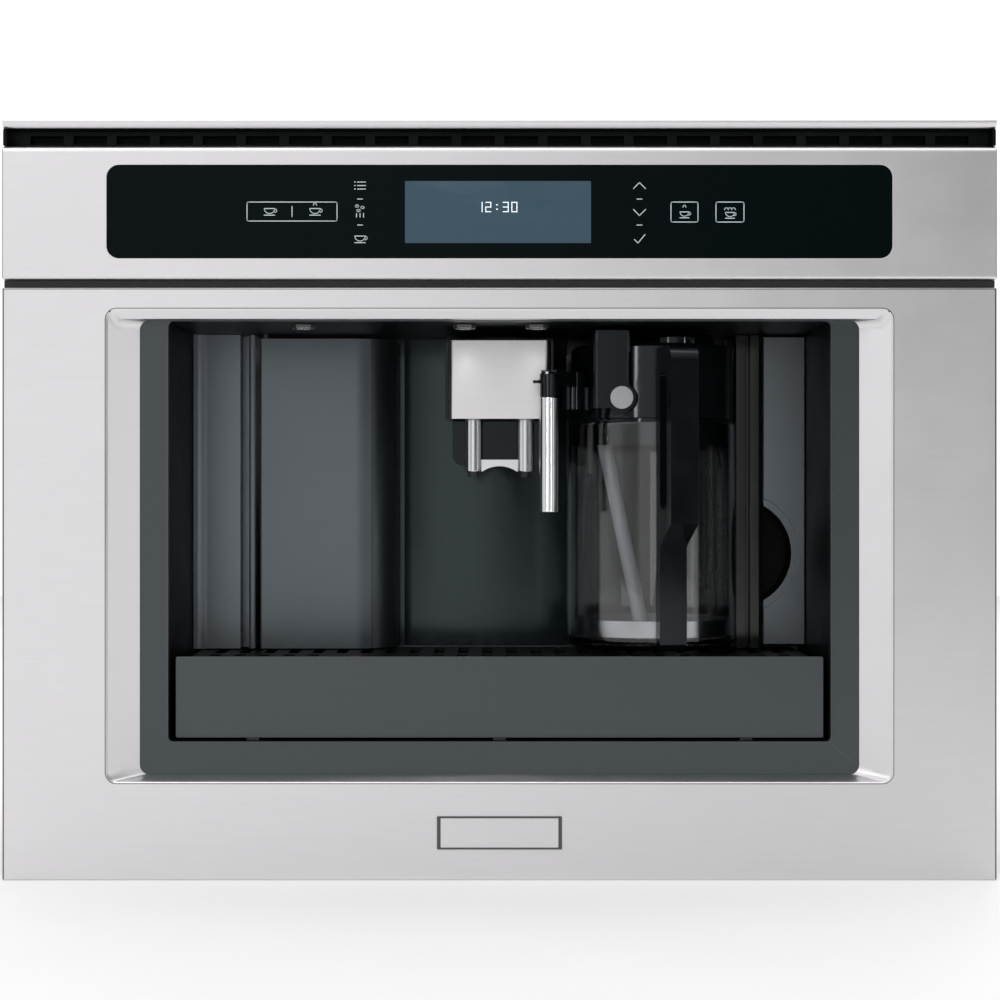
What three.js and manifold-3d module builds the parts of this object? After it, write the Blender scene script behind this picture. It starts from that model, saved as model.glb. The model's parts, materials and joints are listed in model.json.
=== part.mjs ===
// A built-in coffee machine with milk jug, modelled as its separate pieces.
// Millimetres, +Z up. The steel front faces -Y. The origin is the centre of the footprint,
// level with the bottom edge of the steel front.
import * as THREE from 'three';
import { mergeVertices } from 'three/addons/utils/BufferGeometryUtils.js';
import Module from 'manifold-3d';

const wasm = await Module();
wasm.setup();

// ---------------------------------------------------------------- driving dimensions
const FRONT_WIDTH = 595;
const FRONT_HEIGHT = 455;
const DEPTH = 412;
const FRONT_Y = -DEPTH / 2;
const HALF_FRONT = FRONT_WIDTH / 2;
const GAP = 0.3; // air left between pieces that bear on each other
const OVER = 1; // how far a cutter reaches past what it cuts, and a joined body into its neighbour
const STEEL = 1.5; // thickness of every folded sheet
const SHELL = 2.5; // thickness of every moulded shell
const FOLD_DEPTH = 20; // how far the steel front folds back

const FRAME_TOP = 354.5; // lower steel frame, from the bottom edge up
const FASCIA = { bottom: 359.5, top: 439.5, topRadius: 4, bottomRadius: 2 };
const TRIM = { bottom: 449.5, depth: 22, radius: 5 };
const VENT_DEPTH = 11; // the dark vent stands back this far

const GLASS = { halfWidth: 235, bottom: 372, top: 428, radius: 7.5, thickness: 4, setBack: 0.2 };

const WINDOW = { halfWidth: 235, bottom: 58.6, top: 341.4 }; // outer fold of the steel window
// inner edge of its slopes; the top one is steeper and runs on level from topDepth
const THROAT = { halfWidth: 217, bottom: 61.8, top: 336, depth: 12, topDepth: 3 };
const WINDOW_RADIUS = 6;
const BADGE_POCKET = { halfWidth: 37.8, bottom: 18.2, top: 38.6, depth: 0.9 };

const NICHE = { halfWidth: 200, bottom: 81.7, top: 335.5, radius: 3 }; // opening in the black bezel
const BEZEL = { halfWidth: 290, bottom: 8, top: 348, back: 16.5 };
const WALL = 3;
const NICHE_WALL_FRONT = 17.3;
const NICHE_WALL_BOTTOM = 78.5;
const LINING_FRONT = 117; // door, columns and tank front lie at this depth
const TRAY_WALL_DEPTH = 149.5; // upstand behind the drip tray
const BACK_PANEL_DEPTH = 150;
const CEILING_BACK = 168;
const LINING_BOTTOM = 130.4;
const LINING_BACK = 166; // of the panels behind the cups and the jug
const LIFT_OVER_TRAY = 133.2; // bottom of whatever slides out over the tray's raised lip

const CHASSIS = { halfWidth: 264, bottom: 6, top: 438, front: 22.3 };
const CHASSIS_FLOOR = CHASSIS.bottom + STEEL + GAP; // where the works stand on the base pan
const BULKHEAD = {
  halfWidth: 288, bottom: 4, top: 438, front: 20.3, back: 22,
  pad: { inner: 279, outer: 287, height: 0.6, bottom: 100, top: 420 }, // bears on the cabinet's edges
};
const CABINET_HALF_WIDTH = 280; // inside of a standard 560 mm housing

const JUG = { x: 98.2, depth: 100, radius: 54.6, wall: 2.5, rim: 276, floor: 4 };
const SPOUT = { halfWidth: 32.5, front: 62, bottom: 278.4, top: 328, nozzleX: 16.4, nozzleDepth: 75 };
const SPOUT_NOZZLE = {
  radius: 5.6, bore: 2, tip: 3.3, shoulder: 4, bottom: 242, tipTop: 245.2, top: 287,
  bridge: { top: 253, archTop: 248.9, archRadius: 19, thickness: 5 },
};
const SPOUT_RAIL = { head: 11, neck: 7, front: 131.4, lipFront: 134.4, hoodBack: 137, bottom: 252 };
const TRAY = {
  halfWidth: 196, front: 19.5, back: 148, bottom: 84, rim: 126,
  fascia: { halfWidth: 196.4, front: 17, bottom: 83.3, top: 132.6, radius: 1.2 },
};
const DOOR = { left: -156.6, flatEnd: -94.5, right: -67.5, top: 333, thickness: 3 };
const HINGE = { x: DOOR.left + 3.2, depth: LINING_FRONT + 3.2, barrel: 3.2, pin: 2 };
const TANK = { left: 172.7, right: 199.4, top: 334, back: 400, frontThickness: 3.5 };
const RUNNER = { z: 55, front: 22.8, back: 402 };

// ---------------------------------------------------------------- geometry helpers
/** The y of a place that lies the given depth behind the steel front. */
const at = (depth) => FRONT_Y + depth;

/** Merges vertices, drops collapsed faces and turns the surface outwards. */
function closed(source) {
  const bare = source.index ? source.toNonIndexed() : source.clone();
  bare.deleteAttribute('normal');
  bare.deleteAttribute('uv');
  const merged = mergeVertices(bare, 1e-4);
  const index = Array.from(merged.index.array);
  const position = merged.attributes.position;
  const point = (i) => new THREE.Vector3().fromBufferAttribute(position, i);
  const faces = [];
  let volume = 0;
  for (let i = 0; i < index.length; i += 3) {
    const [a, b, c] = index.slice(i, i + 3);
    if (a === b || b === c || a === c) continue;
    faces.push([a, b, c]);
    volume += point(a).dot(point(b).cross(point(c)));
  }
  const outward = volume > 0 ? faces : faces.map(([a, b, c]) => [a, c, b]);
  merged.setIndex(outward.flat());
  return merged;
}

function toManifold(source) {
  const geometry = closed(source);
  return new wasm.Manifold(new wasm.Mesh({
    numProp: 3,
    vertProperties: new Float32Array(geometry.attributes.position.array),
    triVerts: new Uint32Array(geometry.index.array),
  }));
}

function toGeometry(solid) {
  const mesh = solid.getMesh();
  const geometry = new THREE.BufferGeometry();
  geometry.setAttribute('position', new THREE.BufferAttribute(mesh.vertProperties, 3));
  geometry.setIndex(new THREE.BufferAttribute(mesh.triVerts, 1));
  return geometry;
}

/** Joins all the bodies, then takes all the cutters away. */
function carve(bodies, cutters = []) {
  let solid = bodies.map(toManifold).reduce((sum, piece) => sum.add(piece));
  for (const cutter of cutters) solid = solid.subtract(toManifold(cutter));
  return toGeometry(solid);
}

/** A block between two x, two depths and two z. */
function block(x0, x1, depth0, depth1, z0, z1) {
  const geometry = new THREE.BoxGeometry(x1 - x0, depth1 - depth0, z1 - z0);
  geometry.translate((x0 + x1) / 2, at((depth0 + depth1) / 2), (z0 + z1) / 2);
  return geometry;
}

const symmetricBlock = (half, ...rest) => block(-half, half, ...rest);

function polygon(points) {
  const shape = new THREE.Shape();
  points.forEach(([u, v], i) => (i ? shape.lineTo(u, v) : shape.moveTo(u, v)));
  shape.closePath();
  return shape;
}

function roundedRectangle(u0, u1, v0, v1, radius) {
  const shape = new THREE.Shape();
  const quarter = Math.PI / 2;
  shape.moveTo(u0 + radius, v0);
  shape.absarc(u1 - radius, v0 + radius, radius, -quarter, 0, false);
  shape.absarc(u1 - radius, v1 - radius, radius, 0, quarter, false);
  shape.absarc(u0 + radius, v1 - radius, radius, quarter, 2 * quarter, false);
  shape.absarc(u0 + radius, v0 + radius, radius, 2 * quarter, 3 * quarter, false);
  return shape;
}

function extrude(shape, length, curveSegments) {
  return new THREE.ExtrudeGeometry(shape, { depth: length, bevelEnabled: false, curveSegments });
}

/** Drawn as x, z; fills the depths given. */
function alongDepth(shape, depth0, depth1, curveSegments = 5) {
  const geometry = extrude(shape, depth1 - depth0, curveSegments);
  geometry.rotateX(Math.PI / 2);
  geometry.translate(0, at(depth1), 0);
  return geometry;
}

/** Drawn as x, depth; fills the heights given. */
function upwards(shape, z0, z1, curveSegments = 8) {
  const geometry = extrude(shape, z1 - z0, curveSegments);
  geometry.translate(0, FRONT_Y, z0);
  return geometry;
}

/** Drawn as depth, z; fills the widths given. */
function acrossWidth(shape, x0, x1, curveSegments = 6) {
  const geometry = extrude(shape, x1 - x0, curveSegments);
  const x = new THREE.Vector3(1, 0, 0);
  const y = new THREE.Vector3(0, 1, 0);
  const z = new THREE.Vector3(0, 0, 1);
  geometry.applyMatrix4(new THREE.Matrix4().makeBasis(y, z, x));
  geometry.translate(x0, FRONT_Y, 0);
  return geometry;
}

/** A round piece standing at x, depth; its profile is a list of radius, z. */
function turned(profile, x, depth, segments = 32) {
  const geometry = new THREE.LatheGeometry(profile.map(([r, z]) => new THREE.Vector2(r, z)), segments);
  geometry.rotateX(Math.PI / 2);
  geometry.translate(x, at(depth), 0);
  return geometry;
}

const solidRod = (radius, z0, z1) => [[0, z0], [radius, z0], [radius, z1], [0, z1]];
const hollowRod = (bore, radius, z0, z1) =>
  [[bore, z0], [radius, z0], [radius, z1], [bore, z1], [bore, z0]];

const post = (radius, x, depth, z0, z1, segments = 24) =>
  turned(solidRod(radius, z0, z1), x, depth, segments);

/** A cylinder lying front to back. */
function pinAlongDepth(radius, x, z, depth0, depth1, segments = 24) {
  const geometry = new THREE.CylinderGeometry(radius, radius, depth1 - depth0, segments);
  geometry.translate(x, at((depth0 + depth1) / 2), z);
  return geometry;
}

/** A cylinder lying side to side. */
function pinAcross(radius, x, depth, z, length, segments = 16) {
  const geometry = new THREE.CylinderGeometry(radius, radius, length, segments);
  geometry.rotateZ(Math.PI / 2);
  geometry.translate(x, at(depth), z);
  return geometry;
}

/** A straight rod between two points given as x, depth, z. */
function rodBetween(radius, start, end, segments = 16) {
  const [from, to] = [start, end].map(([x, depth, z]) => new THREE.Vector3(x, at(depth), z));
  const along = to.clone().sub(from);
  const geometry = new THREE.CylinderGeometry(radius, radius, along.length(), segments);
  const up = new THREE.Vector3(0, 1, 0);
  geometry.applyQuaternion(new THREE.Quaternion().setFromUnitVectors(up, along.normalize()));
  const middle = from.add(to).multiplyScalar(0.5);
  geometry.translate(middle.x, middle.y, middle.z);
  return geometry;
}

/** A funnel through rounded rectangles, each given with its depth, from front to back. */
function funnel(edges, radius) {
  const rings = edges.map((edge) => {
    const outline = roundedRectangle(-edge.halfWidth, edge.halfWidth, edge.bottom, edge.top, radius);
    const points = outline.getPoints(4).slice(0, -1);
    return points.map((p) => new THREE.Vector3(p.x, at(edge.depth), p.y));
  });
  const count = rings[0].length;
  const middle = (ring) =>
    ring.reduce((sum, p) => sum.add(p), new THREE.Vector3()).multiplyScalar(1 / count);
  const last = rings.length - 1;
  const ends = [middle(rings[0]), middle(rings[last])];
  const corners = [];
  for (let i = 0; i < count; i += 1) {
    const j = (i + 1) % count;
    for (let k = 0; k < last; k += 1) {
      const [a, b, c, d] = [rings[k][i], rings[k][j], rings[k + 1][j], rings[k + 1][i]];
      corners.push(a, b, c, a, c, d);
    }
    corners.push(ends[0], rings[0][j], rings[0][i], ends[1], rings[last][i], rings[last][j]);
  }
  return new THREE.BufferGeometry().setFromPoints(corners);
}

// ---------------------------------------------------------------- materials
const finish = (color, roughness, metalness, extra = {}) =>
  new THREE.MeshStandardMaterial({ color, roughness, metalness, ...extra });
const FINISHES = {
  brushedSteel: () => finish(0xd4d2d4, 0.32, 1),
  chrome: () => finish(0xe6e6e8, 0.08, 1),
  galvanised: () => finish(0xa9adb0, 0.5, 0.9),
  satinBlack: () => finish(0x1b2023, 0.55, 0),
  glossBlack: () => finish(0x090b0d, 0.12, 0),
  darkGlass: () => finish(0x07090a, 0.05, 0),
  clearGlass: () => finish(0xdfe6e8, 0.03, 0, { transparent: true, opacity: 0.3 }),
  milkyPlastic: () => finish(0xc8cccd, 0.35, 0, { transparent: true, opacity: 0.6 }),
  greyPlastic: () => finish(0x6d7276, 0.5, 0),
  lampGlass: () => finish(0xf2efe4, 0.2, 0),
  aluminium: () => finish(0xb9bcc0, 0.4, 1),
  signalRed: () => finish(0xb2332b, 0.5, 0),
};

const group = new THREE.Group();
function add(name, geometry, finishName) {
  const mesh = new THREE.Mesh(closed(geometry), FINISHES[finishName]());
  mesh.name = name;
  group.add(mesh);
}

/** Calls make for the left (-1) and the right (+1) side. */
function bothSides(make) {
  for (const [side, sign] of [['left', -1], ['right', 1]]) make(side, sign);
}

const span = (sign, near, far) => (sign > 0 ? [near, far] : [-far, -near]);

// ---------------------------------------------------------------- steel front
function frontFrame() {
  const pan = symmetricBlock(HALF_FRONT, 0, FOLD_DEPTH, 0, FRAME_TOP);
  const hollow = symmetricBlock(HALF_FRONT - STEEL, STEEL, FOLD_DEPTH + OVER, STEEL, FRAME_TOP - STEEL);
  const edge = (depth, grow) => {
    const mix = (a, b, share) => a + (b - a) * share;
    const share = depth / THROAT.depth;
    return {
      depth,
      halfWidth: mix(WINDOW.halfWidth, THROAT.halfWidth, share) + grow,
      bottom: mix(WINDOW.bottom, THROAT.bottom, share) - grow,
      top: mix(WINDOW.top, THROAT.top, Math.min(1, depth / THROAT.topDepth)) + grow,
    };
  };
  const rings = (from, to, grow) => [from, THROAT.topDepth, to].map((depth) => edge(depth, grow));
  const slopes = funnel(rings(0, THROAT.depth, STEEL), WINDOW_RADIUS + STEEL);
  const opening = funnel(rings(-OVER, THROAT.depth + OVER, 0), WINDOW_RADIUS);
  const shell = carve([pan], [hollow]);
  const { halfWidth, bottom, top, depth } = BADGE_POCKET;
  const badgePocket = symmetricBlock(halfWidth, -OVER, depth, bottom, top);
  add('front_frame', carve([shell, slopes], [opening, badgePocket]), 'brushedSteel');
}

function controlFascia() {
  const outline = (inset) => {
    const low = FASCIA.bottomRadius;
    const high = FASCIA.topRadius;
    const shape = new THREE.Shape();
    shape.moveTo(FOLD_DEPTH + inset, FASCIA.bottom + inset);
    shape.lineTo(FOLD_DEPTH + inset, FASCIA.top - inset);
    shape.absarc(high, FASCIA.top - high, high - inset, Math.PI / 2, Math.PI, false);
    shape.absarc(low, FASCIA.bottom + low, low - inset, Math.PI, 1.5 * Math.PI, false);
    shape.closePath();
    return shape;
  };
  const outer = acrossWidth(outline(0), -HALF_FRONT, HALF_FRONT);
  const inner = acrossWidth(outline(STEEL), -HALF_FRONT + STEEL, HALF_FRONT - STEEL);
  const { halfWidth, bottom, top, radius } = GLASS;
  const opening = alongDepth(
    roundedRectangle(-halfWidth, halfWidth, bottom, top, radius), -OVER, STEEL + OVER);
  add('control_fascia', carve([outer], [inner, opening]), 'brushedSteel');
}

function controlPanel() {
  const { halfWidth, bottom, top, radius, thickness, setBack } = GLASS;
  const outline = roundedRectangle(
    -halfWidth + GAP, halfWidth - GAP, bottom + GAP, top - GAP, radius - GAP);
  const back = setBack + thickness;
  add('control_glass', alongDepth(outline, setBack, back), 'darkGlass');

  const board = { halfWidth: 245, front: back + GAP, back: back + GAP + 8, bottom: 365, top: 434 };
  const plug = { halfWidth: 30, back: board.back + 5, bottom: 385, top: 415 };
  const housing = symmetricBlock(board.halfWidth, board.front, board.back, board.bottom, board.top);
  const connector = symmetricBlock(plug.halfWidth, board.back, plug.back, plug.bottom, plug.top);
  add('control_board', carve([housing, connector]), 'satinBlack');
}

/** A strip with a rounded nose that curls under to the vent. */
function topTrim() {
  const { bottom, depth, radius } = TRIM;
  const lip = bottom + STEEL;
  const noseTop = bottom + radius;
  const underside = FRONT_HEIGHT - STEEL;
  const innerRadius = radius - STEEL;
  const start = Math.PI + Math.asin((noseTop - underside) / innerRadius);
  const shape = new THREE.Shape();
  shape.moveTo(0.4, FRONT_HEIGHT);
  shape.lineTo(0, noseTop);
  shape.absarc(radius, noseTop, radius, Math.PI, 1.5 * Math.PI, false);
  shape.lineTo(VENT_DEPTH, bottom);
  shape.lineTo(VENT_DEPTH, lip);
  shape.absarc(radius, noseTop, innerRadius, 1.5 * Math.PI, start, true);
  shape.lineTo(depth, underside);
  shape.lineTo(depth, FRONT_HEIGHT);
  shape.closePath();
  add('top_trim', acrossWidth(shape, -HALF_FRONT, HALF_FRONT), 'brushedSteel');
}

/** A bar with a row of blind slots, up behind the trim's lip, and a cheek forward at each end. */
function ventGrille() {
  const bottom = FASCIA.top + GAP;
  const top = TRIM.bottom - GAP;
  const barTop = FRONT_HEIGHT - STEEL - GAP;
  const slot = { count: 22, pitch: 26, halfWidth: 10, margin: 2.2, depth: 6 };
  const front = VENT_DEPTH + GAP;
  const back = TRIM.depth - GAP;
  const bar = symmetricBlock(HALF_FRONT - GAP, front, back, bottom, barTop);
  const cheek = { thickness: 2, front: 1 };
  const cheeks = [-1, 1].map((sign) => block(
    ...span(sign, HALF_FRONT - GAP - cheek.thickness, HALF_FRONT - GAP), cheek.front, back, bottom, top));
  const slots = [];
  for (let i = 0; i < slot.count; i += 1) {
    const x = (i - (slot.count - 1) / 2) * slot.pitch;
    slots.push(block(x - slot.halfWidth, x + slot.halfWidth, front - OVER, front + slot.depth,
      bottom + slot.margin, top - slot.margin));
  }
  add('vent_grille', carve([bar, ...cheeks], slots), 'satinBlack');
}

function innerBezel() {
  const front = THROAT.depth + GAP;
  const plate = symmetricBlock(BEZEL.halfWidth, front, BEZEL.back, BEZEL.bottom, BEZEL.top);
  const ridge = { width: 1.2, proud: 0.7, radius: 4 };
  const { halfWidth, bottom, top, radius } = NICHE;
  const rim = alongDepth(
    roundedRectangle(-halfWidth - ridge.width, halfWidth + ridge.width, bottom - ridge.width,
      top - ridge.radius, ridge.radius),
    front - ridge.proud, front + OVER);
  const opening = alongDepth(
    roundedRectangle(-halfWidth, halfWidth, bottom, top, radius), 0, BEZEL.back + OVER);
  add('inner_bezel', carve([plate, rim], [opening]), 'satinBlack');
}

// ---------------------------------------------------------------- chassis
function frontBulkhead() {
  const { halfWidth, bottom, top, front, back, pad } = BULKHEAD;
  const plate = symmetricBlock(halfWidth, front, back, bottom, top);
  const pads = [-1, 1].map((sign) =>
    block(...span(sign, pad.inner, pad.outer), front + GAP, back + pad.height, pad.bottom, pad.top));
  const opening = symmetricBlock(NICHE.halfWidth + WALL + GAP, front - OVER, back + OVER,
    NICHE_WALL_BOTTOM - GAP, NICHE.top + WALL - 0.2);
  add('front_bulkhead', carve([plate, ...pads], [opening]), 'galvanised');
}

function basePan() {
  const { halfWidth, bottom, front } = CHASSIS;
  const inset = 2;
  const foot = { radius: 14, x: 230, depths: [60, 370] };
  const pan = symmetricBlock(halfWidth - inset, front, DEPTH - inset, bottom, bottom + STEEL);
  const feet = foot.depths.flatMap((depth) =>
    [-foot.x, foot.x].map((x) => post(foot.radius, x, depth, 0, bottom + STEEL / 2, 20)));
  add('base_pan', carve([pan, ...feet]), 'galvanised');
}

function sidePanels() {
  const { halfWidth, bottom, top, front } = CHASSIS;
  const back = DEPTH - STEEL - GAP;
  const flangeWidth = 14;
  const louvre = { count: 8, bottom: 250, pitch: 16, height: 5, front: 250, back: 360 };
  bothSides((side, sign) => {
    const wall = block(...span(sign, halfWidth - STEEL, halfWidth), front, back, bottom, top);
    const flange = block(...span(sign, halfWidth - flangeWidth, halfWidth), front, back, top - STEEL, top);
    const louvres = [];
    for (let i = 0; i < louvre.count; i += 1) {
      const z = louvre.bottom + i * louvre.pitch;
      louvres.push(block(...span(sign, halfWidth - STEEL - OVER, halfWidth + OVER),
        louvre.front, louvre.back, z, z + louvre.height));
    }
    add(`side_panel_${side}`, carve([wall, flange], louvres), 'galvanised');
  });
}

const INLET = { x: -190, z: 62, halfWidth: 16, halfHeight: 26 }; // socket below, switch above
const SWITCH = { z: 76, halfWidth: 8, halfHeight: 9, axleDepth: DEPTH - 7, axleRadius: 2 };

function rearPanel() {
  const { halfWidth, bottom, top } = CHASSIS;
  const plate = symmetricBlock(halfWidth, DEPTH - STEEL, DEPTH, bottom, top);
  const [front, back] = [DEPTH - STEEL - OVER, DEPTH + OVER];
  const { x, z, halfWidth: w, halfHeight: h } = INLET;
  const cuts = [block(x - w - GAP, x + w + GAP, front, back, z - h - GAP, z + h + GAP)];
  const louvre = { count: 12, bottom: 250, pitch: 13, height: 5, halfWidth: 90 };
  for (let i = 0; i < louvre.count; i += 1) {
    const low = louvre.bottom + i * louvre.pitch;
    cuts.push(symmetricBlock(louvre.halfWidth, front, back, low, low + louvre.height));
  }
  add('rear_panel', carve([plate], cuts), 'galvanised');
}

const HOPPER = { x0: -185, x1: -40, depth0: 70, depth1: 300, floor: 396 };

function topCover() {
  const { halfWidth, front } = CHASSIS;
  const bottom = CHASSIS.top + GAP;
  const top = bottom + STEEL;
  const plate = symmetricBlock(halfWidth, front, DEPTH, bottom, top);
  const { x0, x1, depth0, depth1 } = HOPPER;
  const margin = 2;
  const cuts = [block(x0 - margin, x1 + margin, depth0 - margin, depth1 + margin, bottom - OVER, top + OVER)];
  const vent = { count: 9, left: 40, pitch: 20, width: 6, front: 220, back: 360 };
  for (let i = 0; i < vent.count; i += 1) {
    const x = vent.left + i * vent.pitch;
    cuts.push(block(x, x + vent.width, vent.front, vent.back, bottom - OVER, top + OVER));
  }
  add('top_cover', carve([plate], cuts), 'galvanised');
}

/** Three nested members a side: fixed to the cabinet, travelling, and fixed to the chassis. */
function runners() {
  const { z, front, back } = RUNNER;
  const members = {
    outer: { web: [CABINET_HALF_WIDTH - STEEL, CABINET_HALF_WIDTH], lips: 267.5, half: 22.5, ends: [0, 0] },
    middle: { web: [275, 276.5], lips: 268, half: 18, ends: [2, 4] },
    inner: {
      web: [CHASSIS.halfWidth + GAP, CHASSIS.halfWidth + GAP + STEEL], lips: 272.5, half: 13, ends: [0, 8],
    },
  };
  bothSides((side, sign) => {
    for (const [member, { web, lips, half, ends }] of Object.entries(members)) {
      const depths = [front + ends[0], back - ends[1]];
      const reach = [Math.min(web[0], lips), Math.max(web[1], lips)];
      const sheet = block(...span(sign, ...web), ...depths, z - half, z + half);
      const flanges = [z - half, z + half - STEEL].map((low) =>
        block(...span(sign, ...reach), ...depths, low, low + STEEL));
      add(`runner_${member}_${side}`, carve([sheet, ...flanges]), 'galvanised');
    }
  });
}

/** One module holds the mains socket and, above it, the rocker switch on its axle. */
function mainsEntry() {
  const { x, z, halfWidth: w, halfHeight: h } = INLET;
  const { z: middle, halfWidth, halfHeight: half, axleDepth, axleRadius } = SWITCH;
  const clear = 0.4; // round the rocker and its axle
  const well = { halfWidth: 12, bottom: 40, top: 58, depth: 18 };
  const pin = { pitch: 7, half: 1, bottom: 47, top: 51, depths: [20, 6] };
  const shell = block(x - w, x + w, DEPTH - 26, DEPTH - 0.2, z - h, z + h);
  const socket = block(x - well.halfWidth, x + well.halfWidth, DEPTH - well.depth, DEPTH + OVER,
    well.bottom, well.top);
  const pocket = block(x - halfWidth - clear, x + halfWidth + clear, DEPTH - 13, DEPTH + OVER,
    middle - half - OVER, middle + half + OVER);
  const axleHole = pinAcross(axleRadius + clear / 2, x, axleDepth, middle, 2 * halfWidth + 4, 12);
  const pins = [-pin.pitch, 0, pin.pitch].map((dx) =>
    block(x + dx - pin.half, x + dx + pin.half, DEPTH - pin.depths[0], DEPTH - pin.depths[1],
      pin.bottom, pin.top));
  const housing = carve([shell], [socket, pocket, axleHole]);
  add('mains_inlet', carve([housing, ...pins]), 'satinBlack');

  const rocker = polygon([
    [DEPTH - 9, middle - half], [DEPTH - 3.2, middle - half], [DEPTH - 4.2, middle],
    [DEPTH - 1.4, middle + half], [DEPTH - 9, middle + half],
  ]);
  const button = acrossWidth(rocker, x - halfWidth, x + halfWidth);
  const axle = pinAcross(axleRadius, x, axleDepth, middle, 2 * halfWidth + 3, 12);
  add('mains_switch', carve([button, axle]), 'satinBlack');
}

// ---------------------------------------------------------------- niche lining
const BACK_LIP_BOTTOM = 325; // of the ceiling's lip behind the panels
const LAMPS = { left: -121, middle: -21.5, right: 23 };
const LAMP = { depth: 40, lens: 5, rim: 7.4, neck: 6.4, proud: 2.2, height: 12 };

function nicheCeiling() {
  const bottom = NICHE.top + GAP;
  const top = bottom + 2.2;
  const half = NICHE.halfWidth - GAP;
  const clear = 0.4; // round the lamps and the door's pin
  const hole = (radius, x, depth) => post(radius + clear, x, depth, bottom - OVER, top + OVER);
  const plate = symmetricBlock(half, NICHE_WALL_FRONT, CEILING_BACK, bottom, top);
  const overPanels = { left: -63, right: 152.5 };
  const lip = block(
    overPanels.left, overPanels.right, LINING_BACK + GAP, CEILING_BACK, BACK_LIP_BOTTOM, top);
  const lampHoles = Object.values(LAMPS).map((x) => hole(LAMP.neck, x, LAMP.depth));
  const pinHole = hole(HINGE.pin, HINGE.x, HINGE.depth);
  add('niche_ceiling', carve([plate, lip], [...lampHoles, pinHole]), 'glossBlack');
}

/** A spot with its lens set back in a raised rim. */
function nicheLamps() {
  const { depth, lens, rim, neck, proud, height } = LAMP;
  const seat = NICHE.top;
  const profile = [
    [0, seat + 1], [lens, seat + 1], [lens + 0.6, seat - proud], [rim - 0.4, seat - proud],
    [rim, seat - 0.4], [rim, seat], [neck, seat], [neck, seat + height], [0, seat + height],
  ];
  for (const [side, x] of Object.entries(LAMPS)) {
    add(`niche_lamp_${side}`, turned(profile, x, depth, 20), 'lampGlass');
  }
}

/** A side wall of the niche, standing on the base pan behind the bulkhead. */
function sideWall(sign, back) {
  const x = span(sign, NICHE.halfWidth, NICHE.halfWidth + WALL);
  const top = NICHE.top + WALL - 0.5;
  return [
    block(...x, NICHE_WALL_FRONT, CHASSIS.front + OVER, NICHE_WALL_BOTTOM, top),
    block(...x, CHASSIS.front, back, CHASSIS_FLOOR, top),
  ];
}

/** The wall with the column that the service door hangs beside. */
function nicheLeftWall() {
  const inner = -NICHE.halfWidth;
  const outer = inner - OVER;
  const fillet = 9;
  const round = 2;
  const right = -159.8;
  const back = LINING_FRONT + 48;
  const groove = { left: -169.5, right: -164, depth: LINING_FRONT + 14 };
  const column = new THREE.Shape();
  column.moveTo(outer, LINING_FRONT - fillet);
  column.lineTo(inner, LINING_FRONT - fillet);
  column.absarc(inner + fillet, LINING_FRONT - fillet, fillet, Math.PI, Math.PI / 2, true);
  column.lineTo(groove.left, LINING_FRONT);
  column.lineTo(groove.left, groove.depth);
  column.lineTo(groove.right, groove.depth);
  column.lineTo(groove.right, LINING_FRONT + round);
  column.absarc(groove.right + round, LINING_FRONT + round, round, Math.PI, 1.5 * Math.PI, false);
  column.absarc(right - round, LINING_FRONT + round, round, 1.5 * Math.PI, 2 * Math.PI, false);
  column.lineTo(right, back);
  column.lineTo(outer, back);
  column.closePath();
  const body = upwards(column, LINING_BOTTOM, NICHE.top, 6);
  add('niche_left_wall', carve([...sideWall(-1, 200), body]), 'satinBlack');
}

function nicheRightWall() {
  add('niche_right_wall', carve(sideWall(1, TANK.back)), 'satinBlack');
}

/** Floor under the drip tray, with the step behind the tray and three ribs that it slides on. */
function nicheFloor() {
  const half = NICHE.halfWidth - GAP;
  const top = 81.2;
  const ledge = LINING_BOTTOM - GAP;
  const stepBack = TRAY_WALL_DEPTH + STEEL;
  const profile = polygon([
    [NICHE_WALL_FRONT, NICHE_WALL_BOTTOM], [stepBack, NICHE_WALL_BOTTOM], [stepBack, ledge - STEEL],
    [CEILING_BACK, ledge - STEEL], [CEILING_BACK, ledge], [TRAY_WALL_DEPTH, ledge],
    [TRAY_WALL_DEPTH, top], [NICHE_WALL_FRONT, top],
  ]);
  const rib = { halfWidth: 4, pitch: 150, front: NICHE_WALL_FRONT + 4, top: TRAY.bottom - GAP };
  const ribs = [-rib.pitch, 0, rib.pitch].map((x) =>
    block(x - rib.halfWidth, x + rib.halfWidth, rib.front, TRAY_WALL_DEPTH + OVER, top - OVER, rib.top));
  add('niche_floor', carve([acrossWidth(profile, -half, half), ...ribs]), 'satinBlack');
}

/** The post beside the tank, its partition and the shelf that the tank stands on. */
function tankBayPost() {
  const left = 153.3;
  const right = 171.7;
  const back = LINING_BACK;
  const edge = { chamfer: 1.5, round: 2 };
  const groove = { left: left + 8, right: left + 10.5, depth: LINING_FRONT + 8 };
  const strip = polygon([
    [left, back], [left, LINING_FRONT + edge.chamfer], [left + edge.chamfer, LINING_FRONT],
    [groove.left, LINING_FRONT], [groove.left, groove.depth], [groove.right, groove.depth],
    [groove.right, LINING_FRONT], [right - edge.round, LINING_FRONT],
    [right, LINING_FRONT + edge.round], [right, back],
  ]);
  const partition = right - 2.7;
  const front = CEILING_BACK + 0.5;
  const shelfTop = LIFT_OVER_TRAY - GAP;
  const shelf = block(partition, NICHE.halfWidth - GAP, front, TANK.back, shelfTop - SHELL, shelfTop);
  const wall = block(partition, right, front, TANK.back, CHASSIS_FLOOR, NICHE.top);
  const joint = block(partition, right, back - 6, front + OVER, LINING_BOTTOM, NICHE.top);
  const post = upwards(strip, LINING_BOTTOM, NICHE.top);
  add('tank_bay_post', carve([post, joint, wall, shelf]), 'glossBlack');
}

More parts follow.
